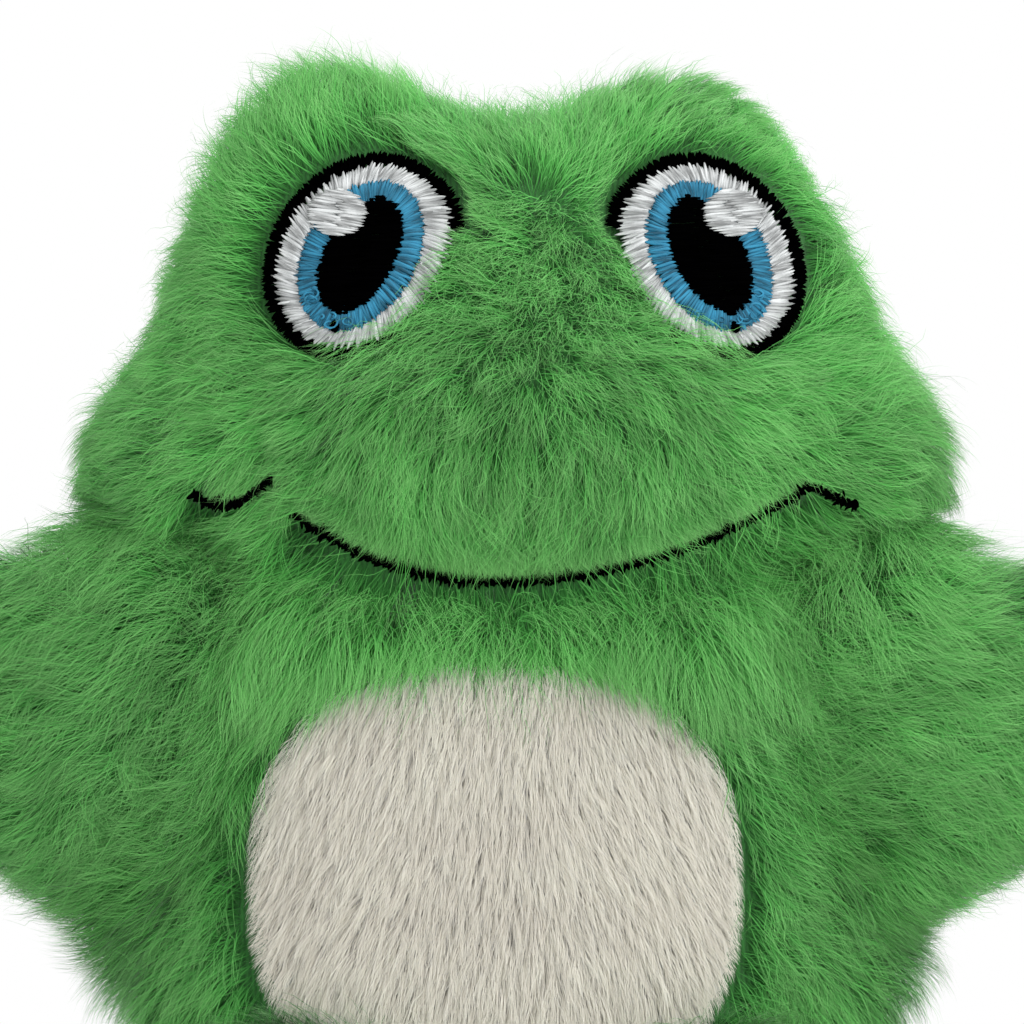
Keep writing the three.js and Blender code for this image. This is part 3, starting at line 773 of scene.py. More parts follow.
class Oval:
    """An oval of the front view that leans by an angle, measured on a CAD node's box. A fullness
    above 2 squares it off."""

    def __init__(self, node, lean, fullness=2.0):
        self.lean = lean
        self.fullness = fullness
        low, high = (np.array(corner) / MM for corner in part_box(node))
        self.middle = ((low + high) / 2)[[0, 2]]
        half_x, half_z = ((high - low) / 2)[[0, 2]]
        total = half_x**2 + half_z**2
        spread = (half_z**2 - half_x**2) / math.cos(2 * lean)
        self.long = math.sqrt((total + spread) / 2)
        self.short = math.sqrt(max((total - spread) / 2, 0.01))

    def parts(self, x, z):
        """How far a point lies from the middle along and across, as shares of the oval's size."""
        dx, dz = x - self.middle[0], z - self.middle[1]
        along = dx * math.sin(self.lean) + dz * math.cos(self.lean)
        across = dx * math.cos(self.lean) - dz * math.sin(self.lean)
        return along / self.long, across / self.short

    def share(self, x, z):
        """How far out a point lies: 1 is on the oval."""
        along, across = self.parts(x, z)
        powers = np.abs(along) ** self.fullness + np.abs(across) ** self.fullness
        return powers ** (1 / self.fullness)

    def beyond(self, x, z):
        """About how many millimetres a point lies outside the oval."""
        return (self.share(x, z) - 1) * (self.long + self.short) / 2

    def turn(self, x, z):
        """The share of a turn, from its upper end, at which a point lies."""
        along, across = self.parts(x, z)
        return np.arctan2(across, along) / (2 * math.pi)

    def point(self, turn, grown=0.0):
        """The oval's point at a share of a turn, counted from its upper end."""
        angle = turn * 2 * math.pi
        along = (self.long + grown) * math.cos(angle)
        across = (self.short + grown) * math.sin(angle)
        return np.array([
            self.middle[0] + along * math.sin(self.lean) + across * math.cos(self.lean),
            self.middle[1] + along * math.cos(self.lean) - across * math.sin(self.lean),
        ])


class Bed:
    """The curved surface that an eye is embroidered on, fitted to its CAD nodes."""

    def __init__(self, nodes):
        places = np.concatenate([node_points(node) for node in nodes])
        self.middle = places[:, [0, 2]].mean(axis=0)
        x, y, z = places.T
        self.terms = np.linalg.lstsq(self.powers(x, z), y, rcond=None)[0]

    def powers(self, x, z):
        a, b = x - self.middle[0], z - self.middle[1]
        return np.stack([np.ones_like(a), a, b, a * a, a * b, b * b], axis=-1)

    def y(self, x, z):
        return self.powers(x, z) @ self.terms


class Line:
    """An embroidered line of the front view, with z and y as functions of x. It is also the bed
    that its stitches lie on."""

    def __init__(self, node):
        x, y, z = node_points(node).T
        self.low, self.high = x.min(), x.max()
        order = LONG_ORDER if self.high - self.low > LONG_LINE else SHORT_ORDER
        self.rise = np.polyfit(self.share(x), z, order)
        self.deep = np.polyfit(self.share(x), y, order)

    def share(self, x):
        """Where x lies on the line, from -1 to 1, and a little past its ends."""
        middle, half = (self.low + self.high) / 2, (self.high - self.low) / 2
        return np.clip((x - middle) / half, -LINE_PAST, LINE_PAST)

    def height(self, x):
        return np.polyval(self.rise, self.share(x))

    def y(self, x, z):
        return np.polyval(self.deep, self.share(x))

    def walk(self, pitch):
        """Evenly spaced points along the line."""
        x = np.linspace(self.low, self.high, LINE_SAMPLES)
        z = self.height(x)
        gone = np.concatenate([[0], np.cumsum(np.hypot(np.diff(x), np.diff(z)))])
        stops = np.linspace(0, gone[-1], int(gone[-1] / pitch) + 2)
        return np.stack([np.interp(stops, gone, x), np.interp(stops, gone, z)], axis=1)


class Toy:
    """The skins, ovals and lines that several pieces are built on."""

    def __init__(self, scene):
        self.skins = {}
        for body, panels in PANELS.items():
            inner = [f"{body}_stuffing"]
            if body == "body":
                inner += ["pellet_bag"]
            if body == "head":
                inner += [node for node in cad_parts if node.startswith(("eye_", "mouth_"))]
            self.skins[body] = Skin(panels + inner)
        for skin in self.skins.values():
            others = [other for other in self.skins.values() if other is not skin]
            skin.settle(others, scene.plush_pile.depth / MM)
        stitch = scene.plush_stitch
        leans = {
            "outline": stitch.eye_lean, "white": stitch.eye_lean, "iris": stitch.iris_lean,
            "pupil": stitch.iris_lean, "highlight": 0.0, "speck": 0.0,
        }
        self.eyes = {
            side: {part: Oval(f"eye_{side}_{part}", -sign * lean) for part, lean in leans.items()}
            for side, sign in SIDES.items()
        }
        self.patch = Oval("belly_patch", 0.0, PATCH_FULLNESS)
        self.lines = {name: Line(name) for name in MOUTH_LINES}
        points, faces = joined([(skin.pile, skin.faces) for skin in self.skins.values()])
        tree = BVHTree.FromPolygons(points.tolist(), faces.tolist())
        for skin in self.skins.values():
            skin.open = self.open_faces(skin, tree)

    def patch_root(self, x, z):
        """Whether cream hair is rooted at a place. Hair falls, so its roots lie above its tips."""
        return self.patch.share(x, z - PATCH_FALL) < 1

    @staticmethod
    def open_faces(skin, tree):
        """Which triangles of a skin can be seen from outside the toy."""
        count = len(skin.middles)
        normals = unit(skin.normals[skin.faces].mean(axis=1))
        tangents = unit(np.cross(normals, ANY_WAY))
        starts = (skin.middles + normals * OPEN_START).tolist()
        found = np.zeros(count, bool)
        for turn in range(OPEN_RAYS + 1):
            tilt = 0.0 if turn == 0 else OPEN_TILT
            sides = turned(tangents, normals, np.full(count, turn * 2 * math.pi / OPEN_RAYS))
            ways = (normals * math.cos(tilt) + sides * math.sin(tilt)).tolist()
            for i in np.flatnonzero(~found):
                found[i] = tree.ray_cast(starts[i], ways[i], OPEN_REACH)[0] is None
        return found


toy = {}


def the_toy(context):
    if "made" not in toy:
        toy["made"] = Toy(context.scene)
    return toy["made"]


# How the pile is combed in the front view: x, z, then the direction across and up


HEAD_COMB = [
    (4, 121, 0.05, 1), (3, 127, -0.1, 1), (4, 113, 0, -1), (-8, 112, -1, 0.5),
    (14, 112, 1, 0.4), (4, 103, 0, -1), (0, 94, -0.12, -1), (9, 93, 0.15, -1),
    (-12, 92, -0.5, -1), (-7, 107, -0.5, -1), (-10, 99, -0.5, -1), (12, 107, 0.5, -1),
    (15, 99, 0.5, -1), (-12, 83, -0.25, -1), (2, 82, 0, -1), (14, 83, 0.35, -1),
    (20, 90, 0.8, -0.8), (24, 85, 0.9, -0.5), (30, 90, 1, -0.25), (-24, 90, -0.75, -0.9),
    (-30, 96, -1, -0.3), (-28, 86, -0.8, -0.6), (-43, 97, -1, -0.3), (-47, 84, -1, -1),
    (38, 96, 1, -0.1), (44, 95, 1, -0.35), (47, 84, 1, -1), (-17, 125, -0.4, 1),
    (-28, 118, -0.9, 0.7), (-33, 108, -1, 0.25), (12, 124, 0, 1), (24, 124, 0.7, 0.6),
    (33, 117, 1, 0.3), (38, 108, 1, -0.1), (0, 71, 0, -1), (-13, 72, -0.6, -1),
    (15, 72, 0.6, -1), (-24, 75, -1, -0.6), (27, 76, 1, -0.6), (-36, 77, -1, -0.7),
    (38, 77, 1, -0.7), (-22, 66, -0.8, -0.8), (24, 66, 0.8, -0.8), (0, 63, 0, -1),
]
BODY_COMB = [
    (0, 68, 0, -1), (-18, 64, -0.6, -1), (20, 64, 0.6, -1), (-33, 62, -0.5, -1),
    (33, 62, 0.6, -1), (-31, 50, -0.15, -1), (30, 50, 0.2, -1), (-37, 38, -0.6, -1),
    (36, 38, 0.65, -1), (-35, 24, -0.7, -1), (34, 24, 0.7, -1), (-20, 14, -0.35, -1),
    (18, 14, 0.35, -1), (0, 10, 0, -1),
]
PATCH_COMB = [
    (-2, 64, 0, -1), (-20, 56, -0.3, -1), (17, 56, 0.3, -1), (-24, 42, -0.3, -1),
    (21, 42, 0.3, -1), (-2, 42, 0, -1), (-18, 24, -0.15, -1), (15, 24, 0.15, -1),
    (-2, 16, 0, -1),
]


# Where the pile is longer, or shorter where negative: x, z, how far that reaches, and the share


TRIM = [
    (26, 124, 8, -0.45), (8, 123, 5, 0.15), (-18, 126, 10, 0.1), (42, 96, 6, 0.2),
    (-47, 85, 6, -0.4), (47, 85, 6, -0.4), (-38, 106, 8, -0.25), (-42, 95, 5, 0.05),
    (46, 34, 6, -0.6), (-56, 76, 6, 0.7), (53, 78, 5, 0.4),
]


# How the pile behaves. Turns are in radians, and bend and wave in millimetres


GREEN_STYLE = {
    "seed": 3, "lift": 0.44, "swirl": 0.45, "tuft_turn": 0.34, "hair_turn": 0.3, "pull": 0.48,
    "bend": 0.6, "wave": 0.36, "curl": 1.0, "tilt": 0.15,
}
WISP_STYLE = {
    "lift": 0.58, "swirl": 0.6, "hair_turn": 0.4, "pull": 0.1, "bend": 1.0, "wave": 0.42, "curl": 2.2,
}
HEAD_STYLE = {"shorter": 0.88, "tilt": 0.35, "pull": 0.54, "tuft_turn": 0.28, "tuft_share": 0.045}
BODY_STYLE = {"seed": 11}
CREAM_STYLE = {
    "seed": 23, "lift": 0.52, "swirl": 0.1, "tuft_turn": 0.13, "hair_turn": 0.1, "pull": 0.4,
    "bend": 0.2, "wave": 0.1, "tuft_share": 0.16,
}
GREEN_LOOK = {"spread": 0.32, "sheen": 0.15}
CREAM_LOOK = {"spread": 0.07, "sheen": 0.1}
CREAM_RELIEF = 0.2
WISP_LENGTH = 1.05
WISP_WIDTH = 0.6
WISP_SHADES = (0.3, 0.68)


# Heights, widths and depths between which one form of the pile gives way to the next


CHIN = (70, 80)
JAW = (76, 88)
BROWS = (92, 110)
CHEEKS = (28, 40)
CHEST = (60, 70)
CHEST_FLOW = (60, 69)
PATCH_TOP = (55, 62)
SHOULDER = (62, 76)
SHOULDER_ENDS = {"left": (40, 58), "right": (40, 51)}
SEAM = (-4, 12)
DENSE_FRONT = (0, 12)


# Where the whorl between the eyes lies, its size, and where the front begins


WHORL = (4, 107)
WHORL_SIZE = (11, 13)
WHORL_FUZZ = 0.85
FACE_FRONT = -6
PATCH_FRONT = -5
PATCH_NEAR = 1.2


# How far the flow from one row of a comb table reaches, and how the pile flows on the back


FAR_WEIGHT = 1e-4
BACK_PARTING = 20
HEAD_REACH = 6.5
BODY_REACH = 8
HEAD_BEHIND = 0.45
BODY_BEHIND = 0.3
CHEST_AHEAD = 0.85
HEAD_BACK = (0.3, 0.5, -1.0)
BODY_BACK = (0.35, 0.0, -1.0)
PATCH_BACK = (0.0, 0.0, -1.0)
LIMB_WAYS = {"arm": (0.9, 0.12, -0.62), "leg": (0.35, -0.8, -0.45)}
# Painted shade on the arms and legs: those on the left are darker, as if the light came from the right.
LIMB_PAINTED_SHADES = {"left": -0.36, "right": -0.16}
SHOULDER_TURN = np.array([-0.9, 0.35])


# How far pile stays off the eyes, the mouth and the patch, and how raggedly


EYE_COVER = 1.45
EYE_COVER_RAGGED = 0.55
OUTLINE_GAP = 0.26
OUTLINE_GAP_EDGE = (0.08, 0.13)
OUTLINE_GAP_COVER = (3.0, 4.6)
MOUTH_BAND = (0.05, 0.55)
MOUTH_CROSSED = 4
STRAY_SHARE = 0.05
STRAY_MORE = 0.1
STRAY_SIDE = (6, 16)
LINE_END = 0.2
PATCH_COVER = 0.2
PATCH_RAGGED = 2.0
PATCH_TOP_RAGGED = 1.6
CREAM_RAGGED = (-1.3, 0.2)


def gaps_squared(points, rows):
    return ((points[:, None, [0, 2]] - rows[None, :, :2]) ** 2).sum(axis=2)


def trimmed(points):
    """The change of length by the trim table."""
    rows = np.array(TRIM, float)
    return np.exp(-gaps_squared(points, rows) / (2 * rows[:, 2] ** 2)) @ rows[:, 3]


def combed(points, table, reach, behind, back):
    """Flow from a comb table for the front. behind is its share towards the back of the toy, one
    for all points or one each. Points behind the seam turn to the back's own flow."""
    rows = np.array(table, float)
    gaps = gaps_squared(points, rows)
    weights = np.exp(-gaps / (2 * reach * reach)) + FAR_WEIGHT / (gaps + 1)
    flat = unit(weights @ unit(rows[:, 2:]))
    front = np.stack([flat[:, 0], np.full(len(points), behind), flat[:, 1]], axis=1)
    rear = np.tile(np.array(back, float), (len(points), 1))
    rear[:, 0] *= np.tanh(points[:, 0] / BACK_PARTING)
    share = smooth_step(*SEAM, points[:, 1])[:, None]
    return unit(front) * (1 - share) + unit(rear) * share


# Operators


DRAWS = {"head": 1, "body": 2, "belly": 3, "limbs": 4, "eyes": 20, "mouth": 40}
CLOTH_FULLNESS = 0.7
CLOTH_SHARE = 0.9


class Maker:
    """What the operators share: random draws, dressing of a finished piece, and combing."""

    bl_options = {"REGISTER", "UNDO"}

    @staticmethod
    def draws(context, offset):
        """The random draws of one step, each step from its own start."""
        return np.random.default_rng(context.scene.plush_stage.seed * 100 + offset)

    @staticmethod
    def dress(piece, body, slot, nodes=(), fill=None):
        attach(piece, body)
        if nodes:
            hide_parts(*nodes)

    @staticmethod
    def style(context, changes):
        pile = context.scene.plush_pile
        spacing = pile.tuft_spacing / MM
        made = {
            "length": pile.length / MM,
            "tuft_share": min(0.5, 1 / (spacing * spacing * pile.front_density)),
            **GREEN_STYLE,
            **changes,
        }
        made["length"] *= made.get("shorter", 1)
        return made

    def grow(self, context, body, draw, flow, local, changes, barrier=None):
        """Combs green pile and loose wisps over one part of the toy."""
        pile = context.scene.plush_pile
        material = bpy.data.materials.get("green pile") or pile_finish(
            "green pile", pile.root_shade_colour, pile.middle_colour, pile.tip_colour, **GREEN_LOOK
        )
        skin = the_toy(context).skins[body]
        style = self.style(context, changes)
        wisp_style = {**style, **WISP_STYLE, "length": style["length"] * WISP_LENGTH}

        def density(points):
            share = smooth_step(*DENSE_FRONT, points[:, 1])
            return pile.front_density * (1 - share) + pile.back_density * share

        for kind, hairs, look, share, shares in (
            ("pile", density, style, 1, HAIR_SHARES),
            ("wisps", pile.wisp_density, wisp_style, WISP_WIDTH, WISP_SHARES),
        ):
            roots, normals = skin.scatter(draw, hairs)
            lines, normals, shades = comb(
                draw, roots, normals, flow(roots), look, barrier, local(roots)
            )
            if kind == "wisps":
                shades = shades * WISP_SHADES[0] + WISP_SHADES[1]
            width = pile.width / MM * share
            for piece in hair_pieces(
                draw, f"{body}_{kind}", lines, normals, shades, width, material, shares=shares
            ):
                self.dress(piece, body, "green_plush")


class PLUSH_OT_cloth(Maker, bpy.types.Operator):
    """Sews the knitted cloth that the pile stands on"""

    bl_idname = "plush.cloth"
    bl_label = "Cloth"

    def execute(self, context):
        made = the_toy(context)
        scene = context.scene
        # The green cloth takes the darkened root green, which holds painted shade.
        green = cloth_finish("green cloth", scene.plush_pile.root_shade_colour)
        cream = cloth_finish("cream cloth", scene.plush_belly.tip_colour)
        for body, panels in PANELS.items():
            skin = made.skins[body]
            cloth = skin.pile - skin.normals * (skin.depths * CLOTH_SHARE)[:, None]
            if body != "body":
                piece = new_object(f"{body}_cloth", cloth, skin.faces, green)
                self.dress(piece, body, "green_plush", panels, CLOTH_FULLNESS)
                continue
            x, y, z = skin.middles.T
            inside = made.patch_root(x, z) & (y < PATCH_FRONT)
            others = [panel for panel in panels if panel != "belly_patch"]
            for name, chosen, material, slot, nodes in (
                ("body_cloth", ~inside, green, "green_plush", others),
                ("belly_cloth", inside, cream, "cream_plush", ["belly_patch"]),
            ):
                used, faces = np.unique(skin.faces[chosen], return_inverse=True)
                piece = new_object(name, cloth[used], faces.reshape(-1, 3), material)
                self.dress(piece, body, slot, nodes, CLOTH_FULLNESS)
        return {"FINISHED"}


FIBRE = (0.78, 0.78, 0.76)
PELLET_BAG = (0.6, 0.58, 0.53)
Lumps = namedtuple("Lumps", "voxel height")
FILLING_LUMPS = Lumps(2.0, 0.7)
BAG_LUMPS = Lumps(1.5, 0.45)
LUMP_SIZES = (7, 2.6)
LUMP_MIDDLE = 0.5
LUMP_SWELL = 0.35
SMALL_LUMPS = 0.6
FILLING_SMOOTHING = 5
FILLING_GAP = 0.5
FILLING_FULLNESS = 0.5


class PLUSH_OT_filling(Maker, bpy.types.Operator):
    """Stuffs the toy with fibre and lays the pellet bag in its seat"""

    bl_idname = "plush.filling"
    bl_label = "Filling"

    def execute(self, context):
        fibre = fibre_finish("fibre filling", FIBRE, grain=900, depth=0.8)
        bag = pellet_finish("pellet bag", PELLET_BAG)
        for body in PANELS:
            node, name = f"{body}_stuffing", f"{body}_filling"
            self.stuff(context, node, name, body, fibre, "filling", FILLING_LUMPS)
        self.stuff(context, "pellet_bag", "pellets_in_bag", "body", bag, "pellets", BAG_LUMPS)
        return {"FINISHED"}

    def stuff(self, context, node, name, body, material, slot, lumps):
        """A lumpy filling that stays inside the cloth."""
        points, normals, faces = melted([node], lumps.voxel, FILLING_SMOOTHING)
        large, small = (
            wobble(points, size, len(name) + number) for number, size in enumerate(LUMP_SIZES)
        )
        skin = the_toy(context).skins[body]
        depths = np.array([skin.depth_at(point) for point in points.tolist()])
        short = np.maximum(depths[:, 1] + FILLING_GAP - depths[:, 0], 0)
        swell = LUMP_SWELL * (large + SMALL_LUMPS * small)
        inwards = short + lumps.height * (LUMP_MIDDLE + swell)
        points = points - normals * inwards[:, None]
        piece = new_object(name, points, faces, material)
        self.dress(piece, body, slot, [node], FILLING_FULLNESS)


class PLUSH_OT_head_pile(Maker, bpy.types.Operator):
    """Combs the head's pile round the eyes and the mouth"""

    bl_idname = "plush.head_pile"
    bl_label = "Head pile"

    def execute(self, context):
        made = the_toy(context)

        def barrier(lines, draw):
            """Keeps hair off the eyes, but for their inner sides, and off the mouth's lines, but
            for a few stray hairs."""
            count = len(lines)
            x, y, z = (lines[:, :, part] for part in range(3))
            front = y < FACE_FRONT
            clear = np.ones(x.shape, bool)
            for side, sign in SIDES.items():
                white = made.eyes[side]["white"]
                turn = white.turn(x[:, 0], z[:, 0]) * -sign
                gap = 1 - smooth_step(*OUTLINE_GAP_EDGE, np.abs(turn - OUTLINE_GAP))
                limit = EYE_COVER - draw.uniform(0, EYE_COVER_RAGGED, count)
                limit += 2 * eye_point(turn) - gap * draw.uniform(*OUTLINE_GAP_COVER, count)
                clear &= ~(front & (white.beyond(x, z) < limit[:, None]))
            for line in made.lines.values():
                band = draw.uniform(*MOUTH_BAND, count)
                strays = STRAY_SHARE + STRAY_MORE * smooth_step(*STRAY_SIDE, x[:, 0])
                band[draw.random(count) < strays] = -1
                along = (x > line.low - LINE_END) & (x < line.high + LINE_END)
                above = z - line.height(x)
                gap, side = np.abs(above), np.sign(above)
                clear &= ~(front & along & (gap < band[:, None]))
                crossed = along & (side != side[:, :1]) & (gap < MOUTH_CROSSED)
                clear &= ~(front & crossed & (band > 0)[:, None])
            return clear

        def flow(points):
            return combed(points, HEAD_COMB, HEAD_REACH, HEAD_BEHIND, HEAD_BACK)

        def local(points):
            x, y, z = points.T
            far = ((x - WHORL[0]) / WHORL_SIZE[0]) ** 2 + ((z - WHORL[1]) / WHORL_SIZE[1]) ** 2
            low = 1 - smooth_step(*JAW, z)
            outer = smooth_step(*CHEEKS, np.abs(x))
            chin = 1 - smooth_step(*CHIN, z)
            high = smooth_step(*BROWS, z)
            return {
                "fuzz": np.where(y < 0, WHORL_FUZZ * np.exp(-far), 0),
                "longer": 0.45 * low + 0.15 * low * outer + trimmed(points),
                "raised": 0.26 * chin,
                # Painted light: a little paler all over, much paler below the mouth where the muzzle
                # shades the chin, and paler on the brows; painted shade on the outer cheeks.
                "painted_light": 0.08 + 0.4 * chin + 0.14 * high - 0.3 * outer * (1 - high),
                "ahead": 0.3 + 1.2 * chin,
                "fall": 0.2 * chin,
            }

        draw = self.draws(context, DRAWS["head"])
        self.grow(context, "head", draw, flow, local, HEAD_STYLE, barrier)
        return {"FINISHED"}


class PLUSH_OT_body_pile(Maker, bpy.types.Operator):
    """Combs the body's pile down and round the cream patch"""

    bl_idname = "plush.body_pile"
    bl_label = "Body pile"

    def execute(self, context):
        made = the_toy(context)

        def barrier(lines, draw):
            """Keeps green hair off the patch, but for its ragged edge, most so at the top."""
            x, y, z = (lines[:, :, part] for part in range(3))
            top = smooth_step(*PATCH_TOP, z[:, 0])
            limit = PATCH_COVER - PATCH_RAGGED * draw.random(len(lines)) ** 2
            limit -= PATCH_TOP_RAGGED * top * draw.random(len(lines))
            on_patch = (made.patch.beyond(x, z) < limit[:, None]) | made.patch_root(x, z)[:, :1]
            return ~((y < FACE_FRONT) & on_patch)

        def flow(points):
            behind = BODY_BEHIND - CHEST_AHEAD * smooth_step(*CHEST_FLOW, points[:, 2])
            return combed(points, BODY_COMB, BODY_REACH, behind, BODY_BACK)

        def local(points):
            high = smooth_step(*CHEST, points[:, 2])
            return {
                # Painted light on the chest in the crease below the chin, and painted shade over the
                # rest of the body.
                "longer": 0.25 * high, "raised": 0.04 * high, "painted_light": 0.6 * high - 0.15,
                "ahead": 2.0 * high, "fall": 0.6 * high,
            }

        draw = self.draws(context, DRAWS["body"])
        self.grow(context, "body", draw, flow, local, BODY_STYLE, barrier)
        return {"FINISHED"}


class PLUSH_OT_belly_pile(Maker, bpy.types.Operator):
    """Combs the cream pile of the belly patch"""

    bl_idname = "plush.belly_pile"
    bl_label = "Belly pile"

    def execute(self, context):
        made = the_toy(context)
        patch = made.patch
        belly = context.scene.plush_belly
        draw = self.draws(context, DRAWS["belly"])
        middle = [(a + b) / 2 for a, b in zip(belly.root_shade_colour, belly.tip_colour)]
        cream = pile_finish("cream pile", belly.root_shade_colour, middle, belly.tip_colour, **CREAM_LOOK)

        def density(points):
            near = patch.share(points[:, 0], points[:, 2]) < PATCH_NEAR
            return np.where(near & (points[:, 1] < PATCH_FRONT), belly.density, 0)

        def barrier(lines, draw):
            """Lets cream hair reach the patch's edge, and at its top as far above as it is rooted."""
            limit = draw.uniform(*CREAM_RAGGED, len(lines))
            x, z = lines[:, :, 0], lines[:, :, 2]
            return patch.beyond(x, z - PATCH_FALL * (z > patch.middle[1])) < limit[:, None]

        roots, normals = made.skins["body"].scatter(draw, density)
        inside = made.patch_root(roots[:, 0], roots[:, 2])
        roots, normals = roots[inside], normals[inside]
        style = self.style(context, {"length": belly.length / MM, **CREAM_STYLE})
        flow = combed(roots, PATCH_COMB, BODY_REACH, 0, PATCH_BACK)
        lines, normals, shades = comb(draw, roots, normals, flow, style, barrier)
        width = belly.width / MM
        for piece in hair_pieces(
            draw, "belly_pile", lines, normals, shades, width, cream, CREAM_RELIEF
        ):
            self.dress(piece, "body", "cream_plush")
        return {"FINISHED"}


class PLUSH_OT_limb_pile(Maker, bpy.types.Operator):
    """Combs the pile of the arms and the legs"""

    bl_idname = "plush.limb_pile"
    bl_label = "Limb pile"

    def execute(self, context):
        limbs = [(limb, side) for limb in LIMB_WAYS for side in SIDES]
        for number, (limb, side) in enumerate(limbs, DRAWS["limbs"]):

            def shoulder(points):
                near = 1 - smooth_step(*SHOULDER_ENDS[side], np.abs(points[:, 0]))
                return near * smooth_step(*SHOULDER, points[:, 2])

            def flow(points):
                way = unit(np.array(LIMB_WAYS[limb]) * [SIDES[side], 1, 1])
                ways = np.tile(way, (len(points), 1))
                if limb == "arm":
                    ways[:, 1:] += SHOULDER_TURN * shoulder(points)[:, None]
                return unit(ways)

            def local(points):
                high = smooth_step(*SHOULDER, points[:, 2])
                inner = shoulder(points)
                return {
                    "longer": 0.5 * inner - 0.12 * high + trimmed(points),
                    "raised": 0.26 * inner - 0.12 * high,
                    # Painted light in the crease at the shoulders, and painted shade set for each side.
                    "painted_light": 0.5 * inner + LIMB_PAINTED_SHADES[side],
                    "ahead": 2.0 * inner,
                    "fall": 0.45 * inner,
                }

            draw = self.draws(context, number)
            self.grow(context, f"{limb}_{side}", draw, flow, local, {"seed": 30 + number})
        return {"FINISHED"}


# Embroidery. Places on an eye's ovals are shares of a turn, from their upper ends inwards


EYE_POINT = 0.8
EYE_POINT_TURN = 0.1
EYE_POINT_WIDTH = 0.06
STITCH_SHARES = np.array([0.0, 0.12, 0.3, 0.5, 0.7, 0.88, 1.0])
STITCH_FULLNESS = np.array([0.1, 0.65, 1, 1, 1, 0.65, 0.1])
STITCH_RADIUS = 0.68
STITCH_SIZES = (0.8, 1.15)
STITCH_ARCH = 0.3
ARCH_POWER = 0.6
STITCH_UNEVEN = 0.045
UNDERLAP = 0.3
TOP_SIZE = 0.8
PADDING_SIZE = 0.85
PADDING_DEPTH = 0.12
RING_PADDING = (0.1, 0.12)
RING_SPACINGS = (0.7, 1.0)
FILL_PADDING = (0.1, 0.1)
FILL_SPACINGS = (0.65, 0.9)
TURN_UNEVEN = 0.2
RING_SKEW = 0.4
ROW_SKEW = 0.03
ROW_SAMPLES = 161
LONGEST_STITCH = 5
STITCH_SPLIT = (0.35, 0.65)
LOOSE_LOOPS = 14
LOOP_STEPS = 11
LOOP_RADIUS = 0.11
LOOP_SIZES = (0.3, 0.85)
LOOP_TURNS = (2, 4.2)
LOOP_HEIGHT = 0.7
LOOP_PLACE = 0.5
LOOP_SPREAD = 0.07
LOOP_INSETS = (-1.7, -0.6)
LOOP_SQUASH = 0.7
LOOP_ARCH = 0.3
LOOP_THREADS = (0.7, 1.2)
CROSS_LEAN = (0.3, 0.55)
CROSS_RAGGED = (0.1, 0.35)
SMILE_TAPER = 0.25
SMILE_RIGHT = (4, 14)

Layer = namedtuple("Layer", "spacing depth ragged size")
Ring = namedtuple("Ring", "part inner grown arc colour depth ragged")
Fill = namedtuple("Fill", "part colour depth slope mirrored ragged full")
Cross = namedtuple("Cross", "spacing halves shift depth")
Thread = namedtuple("Thread", "gloss shadow")

RINGS = (
    Ring("outline", "white", 1.4, (0.315, 1.12), "black", 0.25, (0.3, 0.3)),
    Ring("white", "iris", -0.15, (0, 1), "white", 0.0, (0.4, 0.8)),
    Ring("iris", "pupil", -0.15, (0, 1), "blue", -0.2, (0.6, 0.5)),
)
FILLS = (
    Fill("pupil", "black", -0.3, 0.05, False, (0.3, 0.3), 1.07),
    Fill("highlight", "white", -0.75, 0.12, True, (0.5, 0.5), 1.04),
    Fill("speck", "black", -0.6, 0.1, False, (0.15, 0.15), 1.0),
)
CROSSES = (Cross(0.6, (0.3, 0.5), 0.1, -0.3), Cross(0.85, (0.42, 0.9), 0.2, -0.5))
THREADS = {"black": Thread(0.0, 0.6), "white": Thread(0.3, 0.38), "blue": Thread(0.3, 0.34)}


def two_layers(area, spacings, padding):
    """The padding under a ring or a fill, with its raggedness, and the layer that shows."""
    return (
        Layer(spacings[0], area.depth + PADDING_DEPTH, padding, PADDING_SIZE),
        Layer(spacings[1], area.depth, area.ragged, TOP_SIZE),
    )


def eye_point(turn):
    """How far the white and its outline are drawn out to a soft point at the upper inner end."""
    return EYE_POINT * np.exp(-((turn - EYE_POINT_TURN) / EYE_POINT_WIDTH) ** 2)


def thread_material(context, colour):
    name = f"{colour} thread"
    return bpy.data.materials.get(name) or thread_finish(
        name, getattr(context.scene.plush_stitch, colour), *THREADS[colour]
    )


def sew_stitches(maker, context, draw, node, bed, layers, colour):
    """One piece of thread for a node, in layers of stitches over a bed. Each layer comes with the
    starts and ends of its stitches in the front view."""
    rows, sizes = [], []
    for starts, ends, layer in layers:
        way = unit(ends - starts)
        count = len(starts)
        starts = starts - way * draw.uniform(0, layer.ragged[0], count)[:, None]
        ends = ends + way * draw.uniform(0, layer.ragged[1], count)[:, None]
        flat = starts[:, None] + (ends - starts)[:, None] * STITCH_SHARES[None, :, None]
        arch = np.sin(STITCH_SHARES * math.pi) ** ARCH_POWER
        y = bed.y(flat[:, :, 0], flat[:, :, 1]) + layer.depth - STITCH_ARCH * arch[None]
        y = y + draw.normal(0, STITCH_UNEVEN, count)[:, None]
        rows.append(np.stack([flat[:, :, 0], y, flat[:, :, 1]], axis=2))
        sizes.append(layer.size * draw.uniform(*STITCH_SIZES, count))
    radii = context.scene.plush_stitch.pitch / MM * STITCH_RADIUS * STITCH_FULLNESS
    points, faces, maps = tubes(np.concatenate(rows), radii, np.concatenate(sizes))
    piece = new_object(f"{node}_stitches", points, faces, thread_material(context, colour), maps)
    maker.dress(piece, "head", f"thread_{colour}", [node])


